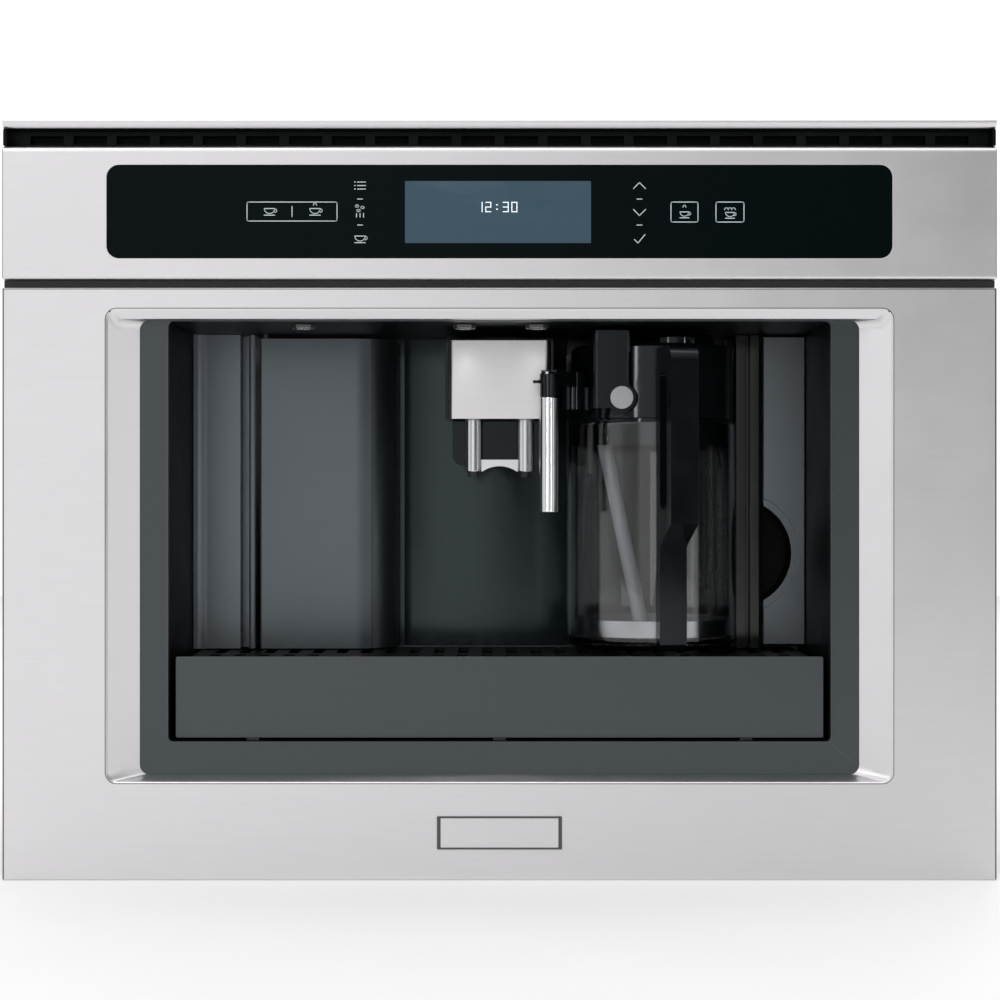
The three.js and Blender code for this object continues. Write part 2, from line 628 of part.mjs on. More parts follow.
/** Gently bowed panel behind the cups, with the T-shaped rail that the coffee spout slides on. */
function nicheBackPanel() {
  const left = -64;
  const right = 45;
  const bow = 6;
  const back = LINING_BACK;
  const lip = 3;
  const hollow = 6;
  const half = (right - left) / 2;
  const middle = (left + right) / 2;
  const radius = (half * half + bow * bow) / (2 * bow);
  const spread = Math.asin(half / radius);
  const shape = new THREE.Shape();
  shape.moveTo(left, back);
  shape.absarc(middle, BACK_PANEL_DEPTH + radius, radius,
    -Math.PI / 2 - spread, -Math.PI / 2 + spread, false);
  shape.lineTo(right, back);
  shape.lineTo(right - lip, back);
  shape.lineTo(right - lip, back - hollow);
  shape.lineTo(left + lip, back - hollow);
  shape.lineTo(left + lip, back);
  shape.closePath();
  const panel = upwards(shape, LINING_BOTTOM, NICHE.top, 14);
  const wing = { width: 14, front: back - 8, back: back - 5 }; // behind the service door's edge
  const behindDoorEdge = block(
    left - wing.width, left + OVER, wing.front, wing.back, LINING_BOTTOM, NICHE.top);
  const { head, neck, front, lipFront, bottom } = SPOUT_RAIL;
  const rail = [
    symmetricBlock(head, front, lipFront - GAP, bottom, NICHE.top),
    symmetricBlock(neck, front, back - hollow - OVER, bottom, NICHE.top),
  ];
  add('niche_back_panel', carve([panel, behindDoorEdge, ...rail]), 'glossBlack');
}

const NOZZLE = { z: 292, radius: 5, bore: 1.6, front: 141 };

function milkBay() {
  const [left, right] = [45.6, 153];
  const back = LINING_BACK;
  const front = back - 3;
  const { z, radius, bore } = NOZZLE;
  const along = (size, from, to, segments) => pinAlongDepth(size, JUG.x, z, from, to, segments);
  const plate = block(left, right, front, back, LINING_BOTTOM, NICHE.top);
  const strip = { reach: 5, thickness: 2, top: BACK_LIP_BOTTOM - GAP }; // behind the seams at both edges
  const behindSeams = [left, right].map((x) => block(x - strip.reach, x + strip.reach,
    back + GAP, back + GAP + strip.thickness, LINING_BOTTOM, strip.top));
  const roots = [[left, left + strip.reach], [right - strip.reach, right]].map(([x0, x1]) =>
    block(x0, x1, back - OVER, back + OVER, LINING_BOTTOM, strip.top));
  const hole = along(radius + 1.3, front - OVER, back + OVER);
  add('milk_bay_panel', carve([plate, ...behindSeams, ...roots], [hole]), 'glossBlack');
  const tail = back + 6;
  const tube = along(radius, NOZZLE.front, tail);
  const collar = along(radius + 4, front - 4, front - GAP);
  const channel = along(bore, NOZZLE.front - OVER, tail + OVER, 12);
  add('steam_nozzle', carve([tube, collar], [channel]), 'aluminium');
}

/** Flat at the left, rolled back at the right edge, hinged on its left edge. */
function serviceDoor() {
  const { left, flatEnd, right, top, thickness } = DOOR;
  const roll = right - flatEnd;
  const back = LINING_FRONT + roll + 4;
  const chamfer = 1;
  const shape = new THREE.Shape();
  shape.moveTo(left + chamfer, LINING_FRONT);
  shape.lineTo(flatEnd, LINING_FRONT);
  shape.absarc(flatEnd, LINING_FRONT + roll, roll, -Math.PI / 2, 0, false);
  shape.lineTo(right, back);
  shape.lineTo(right - thickness, back);
  shape.lineTo(right - thickness, LINING_FRONT + roll);
  shape.absarc(flatEnd, LINING_FRONT + roll, roll - thickness, 0, -Math.PI / 2, true);
  shape.lineTo(left, LINING_FRONT + thickness);
  shape.lineTo(left, LINING_FRONT + chamfer);
  shape.closePath();
  const leaf = upwards(shape, LINING_BOTTOM, top);
  const barrel = post(HINGE.barrel, HINGE.x, HINGE.depth, LINING_BOTTOM, top, 16);
  const pin = post(HINGE.pin, HINGE.x, HINGE.depth, top - 5, NICHE.top + 1.5, 12);
  add('service_door', carve([leaf, barrel, pin]), 'satinBlack');
}

// ---------------------------------------------------------------- drip tray
const FLOAT = { x: -90, depth: 60, base: 16, stem: 5.5, hole: 6.5 };
const GRILLE = { top: 129.5, columns: 24, pitch: 15.6, halfSlot: 3.4, rows: [[28, 78], [88, 138]] };

function dripTray() {
  const { halfWidth, front, back, bottom, rim, fascia } = TRAY;
  const bowl = symmetricBlock(halfWidth, front, back, bottom, rim);
  const hollow = symmetricBlock(
    halfWidth - SHELL, front + SHELL, back - SHELL, bottom + SHELL, rim + OVER);
  add('drip_tray_body', carve([bowl], [hollow]), 'satinBlack');
  const outline = roundedRectangle(
    -fascia.halfWidth, fascia.halfWidth, fascia.bottom, fascia.top, fascia.radius);
  add('drip_tray_fascia', alongDepth(outline, fascia.front, front - GAP, 2), 'satinBlack');

  const plate = symmetricBlock(halfWidth - 2, front + 0.5, back - 0.5, rim + GAP, GRILLE.top);
  const through = [rim - OVER, GRILLE.top + OVER];
  const nearFloat = 12;
  const slots = [];
  const { columns, pitch, halfSlot, rows } = GRILLE;
  for (const [from, to] of rows) {
    for (let i = 0; i < columns; i += 1) {
      const x = (i - (columns - 1) / 2) * pitch;
      if (from < FLOAT.depth && Math.abs(x - FLOAT.x) < nearFloat) continue;
      slots.push(block(x - halfSlot, x + halfSlot, from, to, ...through));
    }
  }
  const floatHole = post(FLOAT.hole, FLOAT.x, FLOAT.depth, ...through);
  add('cup_grille', carve([plate], [...slots, floatHole]), 'satinBlack');

  const floor = bottom + SHELL + GAP;
  const { base, stem } = FLOAT;
  const profile = [[0, floor], [base, floor], [base, floor + 12], [stem, floor + 15],
    [stem, GRILLE.top - 1], [stem - 1, GRILLE.top], [0, GRILLE.top]];
  add('tray_float', turned(profile, FLOAT.x, FLOAT.depth, 20), 'signalRed');
}

// ---------------------------------------------------------------- coffee spout
/** Drawn as x, depth: its two front corners are rounded, more deeply than widely. */
function roundFronted(half, front, back, wide, deep) {
  const shape = new THREE.Shape();
  const centre = front + deep;
  shape.moveTo(half, back);
  shape.lineTo(-half, back);
  shape.absellipse(-half + wide, centre, wide, deep, Math.PI, 1.5 * Math.PI, false, 0);
  shape.absellipse(half - wide, centre, wide, deep, 1.5 * Math.PI, 2 * Math.PI, false, 0);
  shape.closePath();
  return shape;
}

/** A steel cover wrapped round the front of a black body that runs on the rail. */
function coffeeSpout() {
  const { halfWidth, front, bottom, top, nozzleX, nozzleDepth } = SPOUT;
  const sheet = 1.2;
  const corner = { wide: 3.8, deep: 8 };
  const returnBack = front + 22;
  const wrapped = (inset, back) => roundFronted(
    halfWidth - inset, front + inset, back, corner.wide - inset, corner.deep - inset);
  const wrap = upwards(wrapped(0, returnBack), bottom, top);
  const hollow = upwards(wrapped(sheet, returnBack + OVER), bottom - OVER, top - sheet);
  add('spout_cover', carve([wrap], [hollow]), 'brushedSteel');

  const inset = sheet + GAP;
  const base = bottom + 1.1;
  const hoodTop = top + 3;
  const apron = { halfWidth: 30, bottom: 249.6, top: 290, radius: 6.4, front: 86, back: 101 };
  const { head, neck, front: railFront, lipFront, hoodBack } = SPOUT_RAIL;
  const core = upwards(wrapped(inset, apron.back - OVER), base, top - inset);
  const hood = symmetricBlock(halfWidth + 2, returnBack + GAP, hoodBack, base, hoodTop);
  const apronOutline = roundedRectangle(
    -apron.halfWidth, apron.halfWidth, apron.bottom, apron.top, apron.radius);
  const apronPlate = alongDepth(apronOutline, apron.front, apron.back);
  const railClear = { side: 0.6, front: 0.4 };
  const railCuts = [[head, lipFront], [neck, hoodBack + OVER]].map(([half, back]) =>
    symmetricBlock(half + railClear.side, railFront - railClear.front, back, base - OVER, hoodTop + OVER));
  const { radius, bore, tip, tipTop, shoulder, bottom: mouth, top: stemTop, bridge } = SPOUT_NOZZLE;
  const sockets = [-nozzleX, nozzleX].map((x) =>
    post(shoulder + 0.4, x, nozzleDepth, base - 10, stemTop + 1, 20));
  add('spout_body', carve([core, hood, apronPlate], [...railCuts, ...sockets]), 'glossBlack');

  const seat = base - GAP;
  const profile = [[0, mouth], [tip, mouth], [tip + 0.4, tipTop], [radius, tipTop], [radius, seat],
    [shoulder, seat], [shoulder, stemTop], [0, stemTop]];
  const tubes = [-nozzleX, nozzleX].map((x) => turned(profile, x, nozzleDepth, 20));
  const half = bridge.thickness / 2;
  const web = symmetricBlock(nozzleX, nozzleDepth - half, nozzleDepth + half, tipTop + 0.3, bridge.top);
  const arch = pinAlongDepth(bridge.archRadius, 0, bridge.archTop - bridge.archRadius,
    nozzleDepth - half - OVER, nozzleDepth + half + OVER, 64);
  const underWeb = carve([web], [arch]);
  const bores = [-nozzleX, nozzleX].map((x) =>
    post(bore, x, nozzleDepth, mouth - OVER, stemTop + OVER, 12));
  add('spout_nozzles', carve([underWeb, ...tubes], bores), 'chrome');
}

// ---------------------------------------------------------------- milk jug
const LID = {
  bottom: 278.4, top: 325.5, bossTop: 333, radius: 52, skirtBottom: 262, skirt: [48, 51.5],
};
const HANDLE_ANGLE = THREE.MathUtils.degToRad(7.7); // turned from straight ahead towards +X
const BUTTON = {
  x: 75.7, z: 291, radius: 7.1, collar: 8.9, front: 42.5, length: 8, stem: 3, stemEnd: 56.5,
};
const KNOB = { x: 112, depth: 92, radius: 26, stem: 5.9, stemBottom: 317.8, top: 332.5 };
const SWIVEL = { x: 47, depth: 70, hub: 8, lug: 7, pivot: 3, pivotBottom: 291.3, seat: 298.5 };
const MILK_ARM = { top: 308, halfWidth: 5.5 };
const MILK_TUBE = { x: 30.5, depth: 45, radius: 6, bore: 3, stub: 4, bottom: 220, top: 290.7, stubTop: 301 };

function milkJug() {
  const { x, depth, radius, wall, rim } = JUG;
  const base = LIFT_OVER_TRAY;
  const inner = radius - wall;
  const floor = base + JUG.floor;
  const profile = [[0, base], [radius - 5, base], [radius - 1.5, base + 1.5], [radius, base + 5],
    [radius, rim], [inner, rim], [inner, floor + 3], [inner - 1, floor + 1], [inner - 3, floor],
    [0, floor]];
  add('milk_jug', turned(profile, x, depth, 44), 'clearGlass');
}

/** A tall cap that plugs into the jug, with the button's boss and the lug of the milk spout. */
function jugLid() {
  const { x, depth } = JUG;
  const { bottom, top, radius } = LID;
  const rest = JUG.rim + GAP; // a thin ledge rests on the rim, under a groove
  const groove = radius - 1.5;
  const cap = turned([[0, rest], [radius + 1.4, rest], [radius + 1.4, rest + 1], [groove, rest + 1.2],
    [groove, bottom], [radius - 0.6, bottom], [radius, bottom + 0.6], [radius, top - 2.5],
    [radius - 2, top], [0, top]], x, depth, 44);
  const skirt = turned(hollowRod(...LID.skirt, LID.skirtBottom, rest + OVER / 2), x, depth, 44);
  const underside = 284.5; // of the boss and the lug
  const bossOutline = roundedRectangle(58, 82, 46.5, 84, 3);
  const boss = upwards(bossOutline, underside, LID.bossTop, 4);
  const collar = pinAlongDepth(
    BUTTON.collar, BUTTON.x, BUTTON.z, BUTTON.front + BUTTON.length - 5.5, 60, 28);
  const lug = post(SWIVEL.lug, SWIVEL.x, SWIVEL.depth, underside, SWIVEL.seat);
  const web = block(SWIVEL.x, 62, SWIVEL.depth, SWIVEL.depth + 9, underside, SWIVEL.seat);

  const buttonBore = pinAlongDepth(
    BUTTON.radius + 0.4, BUTTON.x, BUTTON.z, BUTTON.front - 4, BUTTON.stemEnd + 4.5, 24);
  const steamSocket = pinAlongDepth(NOZZLE.radius + 0.6, x, NOZZLE.z, NOZZLE.front - 2, 160, 20);
  const knobSeat = post(KNOB.stem + 0.6, KNOB.x, KNOB.depth, KNOB.stemBottom - 1.3, top + OVER, 16);
  const swivelSeat = post(
    SWIVEL.pivot + 0.5, SWIVEL.x, SWIVEL.depth, SWIVEL.pivotBottom - 0.8, SWIVEL.seat + OVER, 16);
  const hubRecess = post(SWIVEL.hub + 0.6, SWIVEL.x, SWIVEL.depth, SWIVEL.seat, MILK_ARM.top + 2);
  add('jug_lid', carve([cap, skirt, boss, collar, lug, web],
    [buttonBore, steamSocket, knobSeat, swivelSeat, hubRecess]), 'glossBlack');
}

/** Drawn in a plane through the jug's axis: distance from the axis, height. */
function jugHandle() {
  const root = { inner: LID.radius + 0.35, bottom: 301, top: 321 };
  const bar = { inner: 55, outer: 65, bottom: 139, bend: 199 };
  const grip = { inner: 85, outer: 97, bottom: 213, radius: 9 };
  const fingers = { bottom: 222, top: 306, radius: 6 };
  const width = 17;
  const barEnd = (bar.outer - bar.inner) / 2;
  const outline = new THREE.Shape();
  outline.moveTo(root.inner, root.bottom);
  outline.lineTo(bar.inner, root.bottom);
  outline.lineTo(bar.inner, bar.bottom);
  outline.absarc(bar.inner + barEnd, bar.bottom, barEnd, Math.PI, 2 * Math.PI, false);
  outline.lineTo(bar.outer, bar.bend);
  outline.lineTo(grip.outer, grip.bottom);
  outline.lineTo(grip.outer, root.top - grip.radius);
  outline.absarc(grip.outer - grip.radius, root.top - grip.radius, grip.radius, 0, Math.PI / 2, false);
  outline.lineTo(root.inner, root.top);
  outline.closePath();
  const fingerGap = roundedRectangle(
    bar.outer, grip.inner, fingers.bottom, fingers.top, fingers.radius);
  outline.holes.push(new THREE.Path(fingerGap.getPoints(4)));
  const geometry = extrude(outline, width, 6);
  // the profile's own x points away from the jug, its y up, and its thickness runs sideways
  const outwards = new THREE.Vector3(Math.sin(HANDLE_ANGLE), -Math.cos(HANDLE_ANGLE), 0);
  const up = new THREE.Vector3(0, 0, 1);
  const sideways = outwards.clone().cross(up);
  geometry.translate(0, 0, -width / 2);
  geometry.applyMatrix4(new THREE.Matrix4().makeBasis(outwards, up, sideways));
  geometry.translate(JUG.x, at(JUG.depth), 0);
  add('jug_handle', geometry, 'glossBlack');
}

/** Leans from the lid's left side to the front of the jug's floor. */
function dipTube() {
  const start = new THREE.Vector3(64.7, 76.7, 274.8);
  const end = new THREE.Vector3(91.3, 62, 138.6);
  const past = end.clone().sub(start).normalize().multiplyScalar(5);
  const radius = 4.7;
  const wall = 1.5;
  const tube = rodBetween(radius, start.toArray(), end.toArray(), 18);
  const bore = rodBetween(radius - wall, start.sub(past).toArray(), end.add(past).toArray(), 14);
  add('dip_tube', carve([tube], [bore]), 'milkyPlastic');
}

function frothKnob() {
  const { x, depth, radius, stem, stemBottom, top } = KNOB;
  const bottom = LID.top + GAP;
  const body = turned([[0, stemBottom], [stem, stemBottom], [stem, bottom], [radius, bottom],
    [radius, top - 2], [radius - 2, top], [0, top]], x, depth, 36);
  const pointer = block(x - 1.5, x + 1.5, depth - radius + 4, depth - 4, top - OVER, LID.bossTop);
  add('froth_knob', carve([body, pointer]), 'glossBlack');
}

/** Turns on the lid's lug and holds the tube that the milk runs out of. */
function milkSpout() {
  const { x, depth, radius, bore, stub, bottom, top, stubTop } = MILK_TUBE;
  const armBottom = SWIVEL.seat + GAP;
  const across = x - SWIVEL.x;
  const forward = depth - SWIVEL.depth;
  const { halfWidth } = MILK_ARM;
  const bar = block(0, Math.hypot(across, forward), DEPTH / 2 - halfWidth, DEPTH / 2 + halfWidth,
    armBottom, MILK_ARM.top);
  bar.rotateZ(Math.atan2(forward, across));
  bar.translate(SWIVEL.x, at(SWIVEL.depth), 0);
  const hub = post(SWIVEL.hub, SWIVEL.x, SWIVEL.depth, armBottom, MILK_ARM.top);
  const pivot = post(
    SWIVEL.pivot, SWIVEL.x, SWIVEL.depth, SWIVEL.pivotBottom, armBottom + OVER, 16);
  const sleeve = top + GAP;
  const elbow = turned([[0, sleeve], [5.4, sleeve], [5.4, 299.5], [6.2, 299.5], [6.2, 302], [5.6, 302],
    [5.6, 305.4], [4.4, 306.8], [2.4, 307.4], [0, 307.4]], x, depth, 24);
  const nub = block(x - 9.8, x - 4.5, depth - 1.5, depth + 1.5, 299.8, 301.6);
  const socket = post(stub + GAP, x, depth, sleeve - OVER, stubTop + 1, 20);
  add('milk_spout_arm', carve([bar, hub, pivot, elbow, nub], [socket]), 'glossBlack');
  const tube = [[bore, bottom], [radius, bottom], [radius, top], [stub, top], [stub, stubTop],
    [bore, stubTop], [bore, bottom]];
  add('milk_spout_tube', turned(tube, x, depth, 24), 'chrome');
}

function cleanButton() {
  const { x, z, radius, front, length, stem, stemEnd } = BUTTON;
  const cap = pinAlongDepth(radius, x, z, front, front + length, 28);
  const shaft = pinAlongDepth(stem, x, z, front + length - OVER, stemEnd, 14);
  add('clean_button', carve([cap, shaft]), 'greyPlastic');
}

// ---------------------------------------------------------------- water tank
const NOTCH = { x: 155.9, z: 192.8, radius: 35.1, lip: 39.7 }; // half-moon for the fingers

/** The front plate carries the notch, and the tank behind it dips in round the fingers. */
function waterTank() {
  const { left, right, top, back, frontThickness } = TANK;
  const { x, z, radius, lip } = NOTCH;
  const bottom = LIFT_OVER_TRAY;
  const fingers = { back: 150, bottom: 148, top: 238 };
  const cutterFront = LINING_FRONT - 7;
  const panelBack = LINING_FRONT + frontThickness;
  const panel = block(left, right, LINING_FRONT, panelBack, bottom, top);
  const notch = pinAlongDepth(radius, x, z, cutterFront, panelBack + OVER, 48);
  const rim = pinAlongDepth(lip, x, z, cutterFront, LINING_FRONT + 1, 48);
  add('tank_front', carve([panel], [notch, rim]), 'satinBlack');

  const front = panelBack + GAP;
  const shell = block(left, right, front, back, bottom, top);
  const pocket = pinAlongDepth(radius + 2, x, z, cutterFront, fingers.back, 40);
  const hollow = (from, to, low, high) => block(left + SHELL, right - SHELL, from, to, low, high);
  const [inFront, inBack] = [front + SHELL, fingers.back + SHELL];
  const [floor, open] = [bottom + SHELL, top + OVER];
  add('tank_body', carve([shell], [
    pocket,
    hollow(inBack, back - SHELL, floor, open),
    hollow(inFront, inBack + OVER, fingers.top, open),
    hollow(inFront, inBack + OVER, floor, fingers.bottom),
  ]), 'milkyPlastic');
}

// ---------------------------------------------------------------- inside the machine
const GRINDER = { x: -112, depth: 250, bore: 16, top: HOPPER.floor - GAP, bottom: 341 };
const GRIND_KNOB = { x: -62, depth: 270, stem: 4, radius: 13, height: 14 };
const BREW = { x: -112, depth: 325, boreRadius: 21, halfWidth: 42, deck: LINING_BOTTOM + 1 };

/** A hopper hung in the top cover, the lid hinged on its back edge and the grind knob inside. */
function beanHopper() {
  const { x0, x1, depth0, depth1, floor } = HOPPER;
  const rim = CHASSIS.top + STEEL + 2 * GAP;
  const box = (grow, z0, z1) => block(x0 - grow, x1 + grow, depth0 - grow, depth1 + grow, z0, z1);
  const hole = (radius, { x, depth }, segments) =>
    post(radius, x, depth, floor - OVER, floor + SHELL + OVER, segments);
  add('bean_hopper', carve([box(0, floor, rim + OVER), box(6, rim, rim + STEEL)], [
    box(-SHELL, floor + SHELL, rim + STEEL + OVER),
    hole(GRINDER.bore + 4, GRINDER, 24),
    hole(GRIND_KNOB.stem + 0.5, GRIND_KNOB, 16),
  ]), 'satinBlack');

  const lidBottom = rim + STEEL + GAP;
  const lidTop = lidBottom + SHELL;
  const middle = (x0 + x1) / 2;
  const hingeDepth = depth1 + 7;
  const grip = block(
    middle - 12.5, middle + 12.5, depth0 - 4, depth0 + 2, lidTop - OVER, lidTop + 5.5);
  const tab = block(middle - 27, middle + 27, hingeDepth - 3, hingeDepth, lidBottom + 1, lidTop);
  const barrel = pinAcross(2.4, middle, hingeDepth, lidBottom + 2, 60);
  add('hopper_lid', carve([box(5, lidBottom, lidTop), grip, tab, barrel]), 'satinBlack');

  const { x, depth, stem, radius, height } = GRIND_KNOB;
  const seat = floor + SHELL + GAP;
  const profile = [[0, floor - 4], [stem, floor - 4], [stem, seat], [radius, seat],
    [radius - 1, seat + height], [0, seat + height]];
  add('grind_knob', turned(profile, x, depth, 16), 'greyPlastic');
}

function grinder() {
  const { x, depth, bore, top, bottom } = GRINDER;
  const rim = 38;
  const chamfer = 4;
  const burrs = turned([[bore, bottom], [rim - chamfer, bottom], [rim, bottom + 9], [rim, top - 6],
    [rim - 8, top], [bore + 2, top], [bore, top - chamfer], [bore, bottom]], x, depth);
  const motor = block(x - 60, x - rim + chamfer, depth - 28, depth + 28, bottom + 4, top - 7.7);
  add('grinder', carve([burrs, motor]), 'greyPlastic');
}

/** A stand with a fixed piston over the chamber, which is lifted to it. */
function brewUnit() {
  const { x, depth, boreRadius, halfWidth, deck } = BREW;
  const beam = (...rest) => block(x - halfWidth, x + halfWidth, ...rest);
  const head = { bottom: 322, top: 332, front: depth - 30, back: depth + 42 };
  const platform = beam(169, 398, deck - 3, deck);
  const legs = [171, 390].map((front) => beam(front, front + 5, CHASSIS_FLOOR, deck - OVER));
  const column = beam(head.back - 8, head.back, deck - OVER, head.top);
  const beamOver = beam(head.front, head.back - 4, head.bottom, head.top);
  const piston = post(boreRadius - 1, x, depth, 268, head.bottom + OVER);
  const gearbox = block(
    x - 36, x + 36, head.back, head.back + 24, deck - OVER, 190);
  add('brew_unit', carve([platform, ...legs, column, beamOver, piston, gearbox]), 'greyPlastic');

  const chamber = { bottom: deck + 4, floor: deck + 34, rim: deck + 89, radius: boreRadius + 9 };
  const profile = [[0, chamber.bottom], [chamber.radius, chamber.bottom],
    [chamber.radius, chamber.rim], [boreRadius, chamber.rim], [boreRadius, chamber.floor],
    [0, chamber.floor]];
  add('brew_carriage', turned(profile, x, depth, 28), 'satinBlack');
}

function groundsContainer() {
  const [x0, x1, front, back] = [-152, -72, 170, 276];
  const bottom = BREW.deck + GAP;
  const top = bottom + 80;
  const shell = block(x0, x1, front, back, bottom, top);
  const hollow = block(
    x0 + SHELL, x1 - SHELL, front + SHELL, back - SHELL, bottom + SHELL, top + OVER);
  add('grounds_container', carve([shell], [hollow]), 'satinBlack');
}

/** A coil round a barrel that lies front to back, on two rubber feet. */
function pump() {
  const x = 60;
  const z = 48;
  const coil = { half: 24, front: 230, back: 290 };
  const barrelBack = 330;
  const body = block(x - coil.half, x + coil.half, coil.front, coil.back, z - coil.half, z + coil.half);
  const barrel = pinAlongDepth(14, x, z, 205, barrelBack);
  const outlet = pinAlongDepth(5, x, z, barrelBack - OVER, barrelBack + 18, 16);
  const feet = [coil.front + 8, coil.back - 8].map((depth) =>
    post(8, x, depth, CHASSIS_FLOOR, z - coil.half + 4, 16));
  add('pump', carve([body, barrel, outlet, ...feet]), 'greyPlastic');
}

/** A finned block on a plate and two legs. */
function thermoblock() {
  const [x0, x1, front, back] = [15, 105, 230, 320];
  const [bottom, top] = [150, 280];
  const slab = (grow, z0, z1) =>
    block(x0 - grow, x1 + grow, front - grow, back + grow, z0, z1);
  const fin = { count: 6, pitch: 20, thickness: 6, proud: 6 };
  const fins = [];
  for (let i = 0; i < fin.count; i += 1) {
    const low = bottom + 10 + i * fin.pitch;
    fins.push(slab(fin.proud, low, low + fin.thickness));
  }
  const stand = slab(10, bottom - 3, bottom + OVER);
  const legs = [x0 - 10, x1 + 2].map((x) => block(x, x + 8, back - 5, back + 10, CHASSIS_FLOOR, bottom));
  add('thermoblock', carve([slab(0, bottom, top), stand, ...fins, ...legs]), 'aluminium');
}

frontFrame();
controlFascia();
controlPanel();
topTrim();
ventGrille();
innerBezel();
frontBulkhead();
basePan();
sidePanels();
rearPanel();
topCover();
runners();
mainsEntry();
nicheCeiling();
nicheLamps();
nicheLeftWall();
nicheRightWall();
nicheFloor();
tankBayPost();
nicheBackPanel();
milkBay();
serviceDoor();
dripTray();
coffeeSpout();
milkJug();
jugLid();
jugHandle();
dipTube();
frothKnob();
milkSpout();
cleanButton();
waterTank();
beanHopper();
grinder();
brewUnit();
groundsContainer();
pump();
thermoblock();

export default group;
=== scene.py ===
"""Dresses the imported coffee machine: camera, studio, materials and the finer pieces.

Helper arguments are millimetres: x to the right, depth behind the steel front, z up.
"""
import json
import math

import bmesh
import bpy
from mathutils import Matrix, Vector

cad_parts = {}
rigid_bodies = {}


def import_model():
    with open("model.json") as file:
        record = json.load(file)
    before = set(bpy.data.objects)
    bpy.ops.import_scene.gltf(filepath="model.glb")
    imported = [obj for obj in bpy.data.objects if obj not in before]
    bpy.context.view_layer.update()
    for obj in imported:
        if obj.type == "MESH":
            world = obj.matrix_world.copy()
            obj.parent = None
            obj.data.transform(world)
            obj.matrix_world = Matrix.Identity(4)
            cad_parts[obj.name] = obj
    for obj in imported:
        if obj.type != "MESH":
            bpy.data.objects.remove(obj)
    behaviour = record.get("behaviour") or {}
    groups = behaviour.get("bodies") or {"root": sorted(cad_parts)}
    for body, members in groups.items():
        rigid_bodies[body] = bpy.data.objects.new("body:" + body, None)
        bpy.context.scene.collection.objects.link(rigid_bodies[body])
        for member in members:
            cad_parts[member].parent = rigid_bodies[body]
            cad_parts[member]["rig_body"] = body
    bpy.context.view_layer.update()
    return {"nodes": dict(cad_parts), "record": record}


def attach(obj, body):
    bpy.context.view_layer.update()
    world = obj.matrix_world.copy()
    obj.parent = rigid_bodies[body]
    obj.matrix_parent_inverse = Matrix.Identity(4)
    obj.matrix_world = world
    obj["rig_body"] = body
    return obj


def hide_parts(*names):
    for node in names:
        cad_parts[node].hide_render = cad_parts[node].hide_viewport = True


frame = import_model()

MM = 0.001
FRONT_Y = -206.0  # the steel front's plane, in the model's frame
NODES = frame["nodes"]
SLOT_OF = {part["node"]: part["material_slot"] for part in frame["record"]["subparts"]}


def place(x, depth, z):
    """A point given as x, depth and z in millimetres, in metres."""
    return Vector((x * MM, (FRONT_Y + depth) * MM, z * MM))


def unplace(point):
    """The x, depth and z in millimetres of a point given in metres."""
    return point.x / MM, point.y / MM - FRONT_Y, point.z / MM


# ------------------------------------------------------------------ camera and studio
PIXEL = 0.598  # millimetres a pixel covers on the front's plane
MIDDLE_PX, MIDDLE_PY = 499.5, 500  # the pixel that shows the front's middle
EYE_DISTANCE = 1250  # from the front's plane
EYE_X, EYE_Z = 0.3, 227.5


def from_pixel(px, py, depth=0.0):
    """The x and z in millimetres that a pixel of the 1000 pixel wide frame shows at a depth."""
    scale = PIXEL * (1 + depth / EYE_DISTANCE)
    return (px - MIDDLE_PX) * scale, EYE_Z + (MIDDLE_PY - py) * scale


def make_camera():
    data = bpy.data.cameras.new("camera")
    data.lens = 75.25
    data.sensor_width = 36
    data.clip_start = 0.05
    camera = bpy.data.objects.new("camera", data)
    camera.location = place(EYE_X, -EYE_DISTANCE, EYE_Z)
    camera.rotation_euler = (math.radians(90), 0, 0)
    bpy.context.scene.collection.objects.link(camera)
    bpy.context.scene.camera = camera


def nodes_of(tree_owner):
    tree = tree_owner.node_tree
    tree.nodes.clear()

    def add(kind, inputs=(), **settings):
        node = tree.nodes.new(kind)
        for key, value in settings.items():
            setattr(node, key, value)
        for socket, value in dict(inputs).items():
            if isinstance(value, bpy.types.NodeSocket):
                tree.links.new(value, node.inputs[socket])
            else:
                node.inputs[socket].default_value = value
        return node

    return add


def make_world():
    """White all round, dimmer towards the front right and in a broad band on each side."""
    world = bpy.data.worlds.new("studio")
    bpy.context.scene.world = world
    world.use_nodes = True
    add = nodes_of(world)

    def ramp(value, start, end, low, high):
        return add("ShaderNodeMapRange", {
            "Value": value, "From Min": start, "From Max": end, "To Min": low, "To Max": high},
            interpolation_type="SMOOTHSTEP").outputs[0]

    def combine(operation, first, second, **settings):
        return add("ShaderNodeMath", {0: first, 1: second}, operation=operation, **settings).outputs[0]

    direction = add("ShaderNodeTexCoord").outputs["Generated"]
    axes = add("ShaderNodeSeparateXYZ", {0: direction})
    across, along, up = (axes.outputs[axis] for axis in "XYZ")
    forward = combine("MULTIPLY", along, -1.0, use_clamp=True)
    outward = combine("ABSOLUTE", across, 0.0)
    darkest = 0.04
    sky = ramp(up, 0.0, 0.2, 1.03, 1.11)
    front_right = combine("MULTIPLY", combine("POWER", forward, 4.0),
                          ramp(across, -0.10, 0.26, 0.0, 0.95))
    side_bands = combine("SUBTRACT", ramp(outward, 0.28, 0.42, 0.0, 0.6),
                         ramp(outward, 0.62, 0.80, 0.0, 0.35))
    level = combine("SUBTRACT", combine("SUBTRACT", sky, front_right), side_bands)
    level = combine("MAXIMUM", level, darkest)
    glow = add("ShaderNodeBackground", {"Color": (1.0, 0.995, 1.0, 1), "Strength": level})
    add("ShaderNodeOutputWorld", {"Surface": glow.outputs[0]})


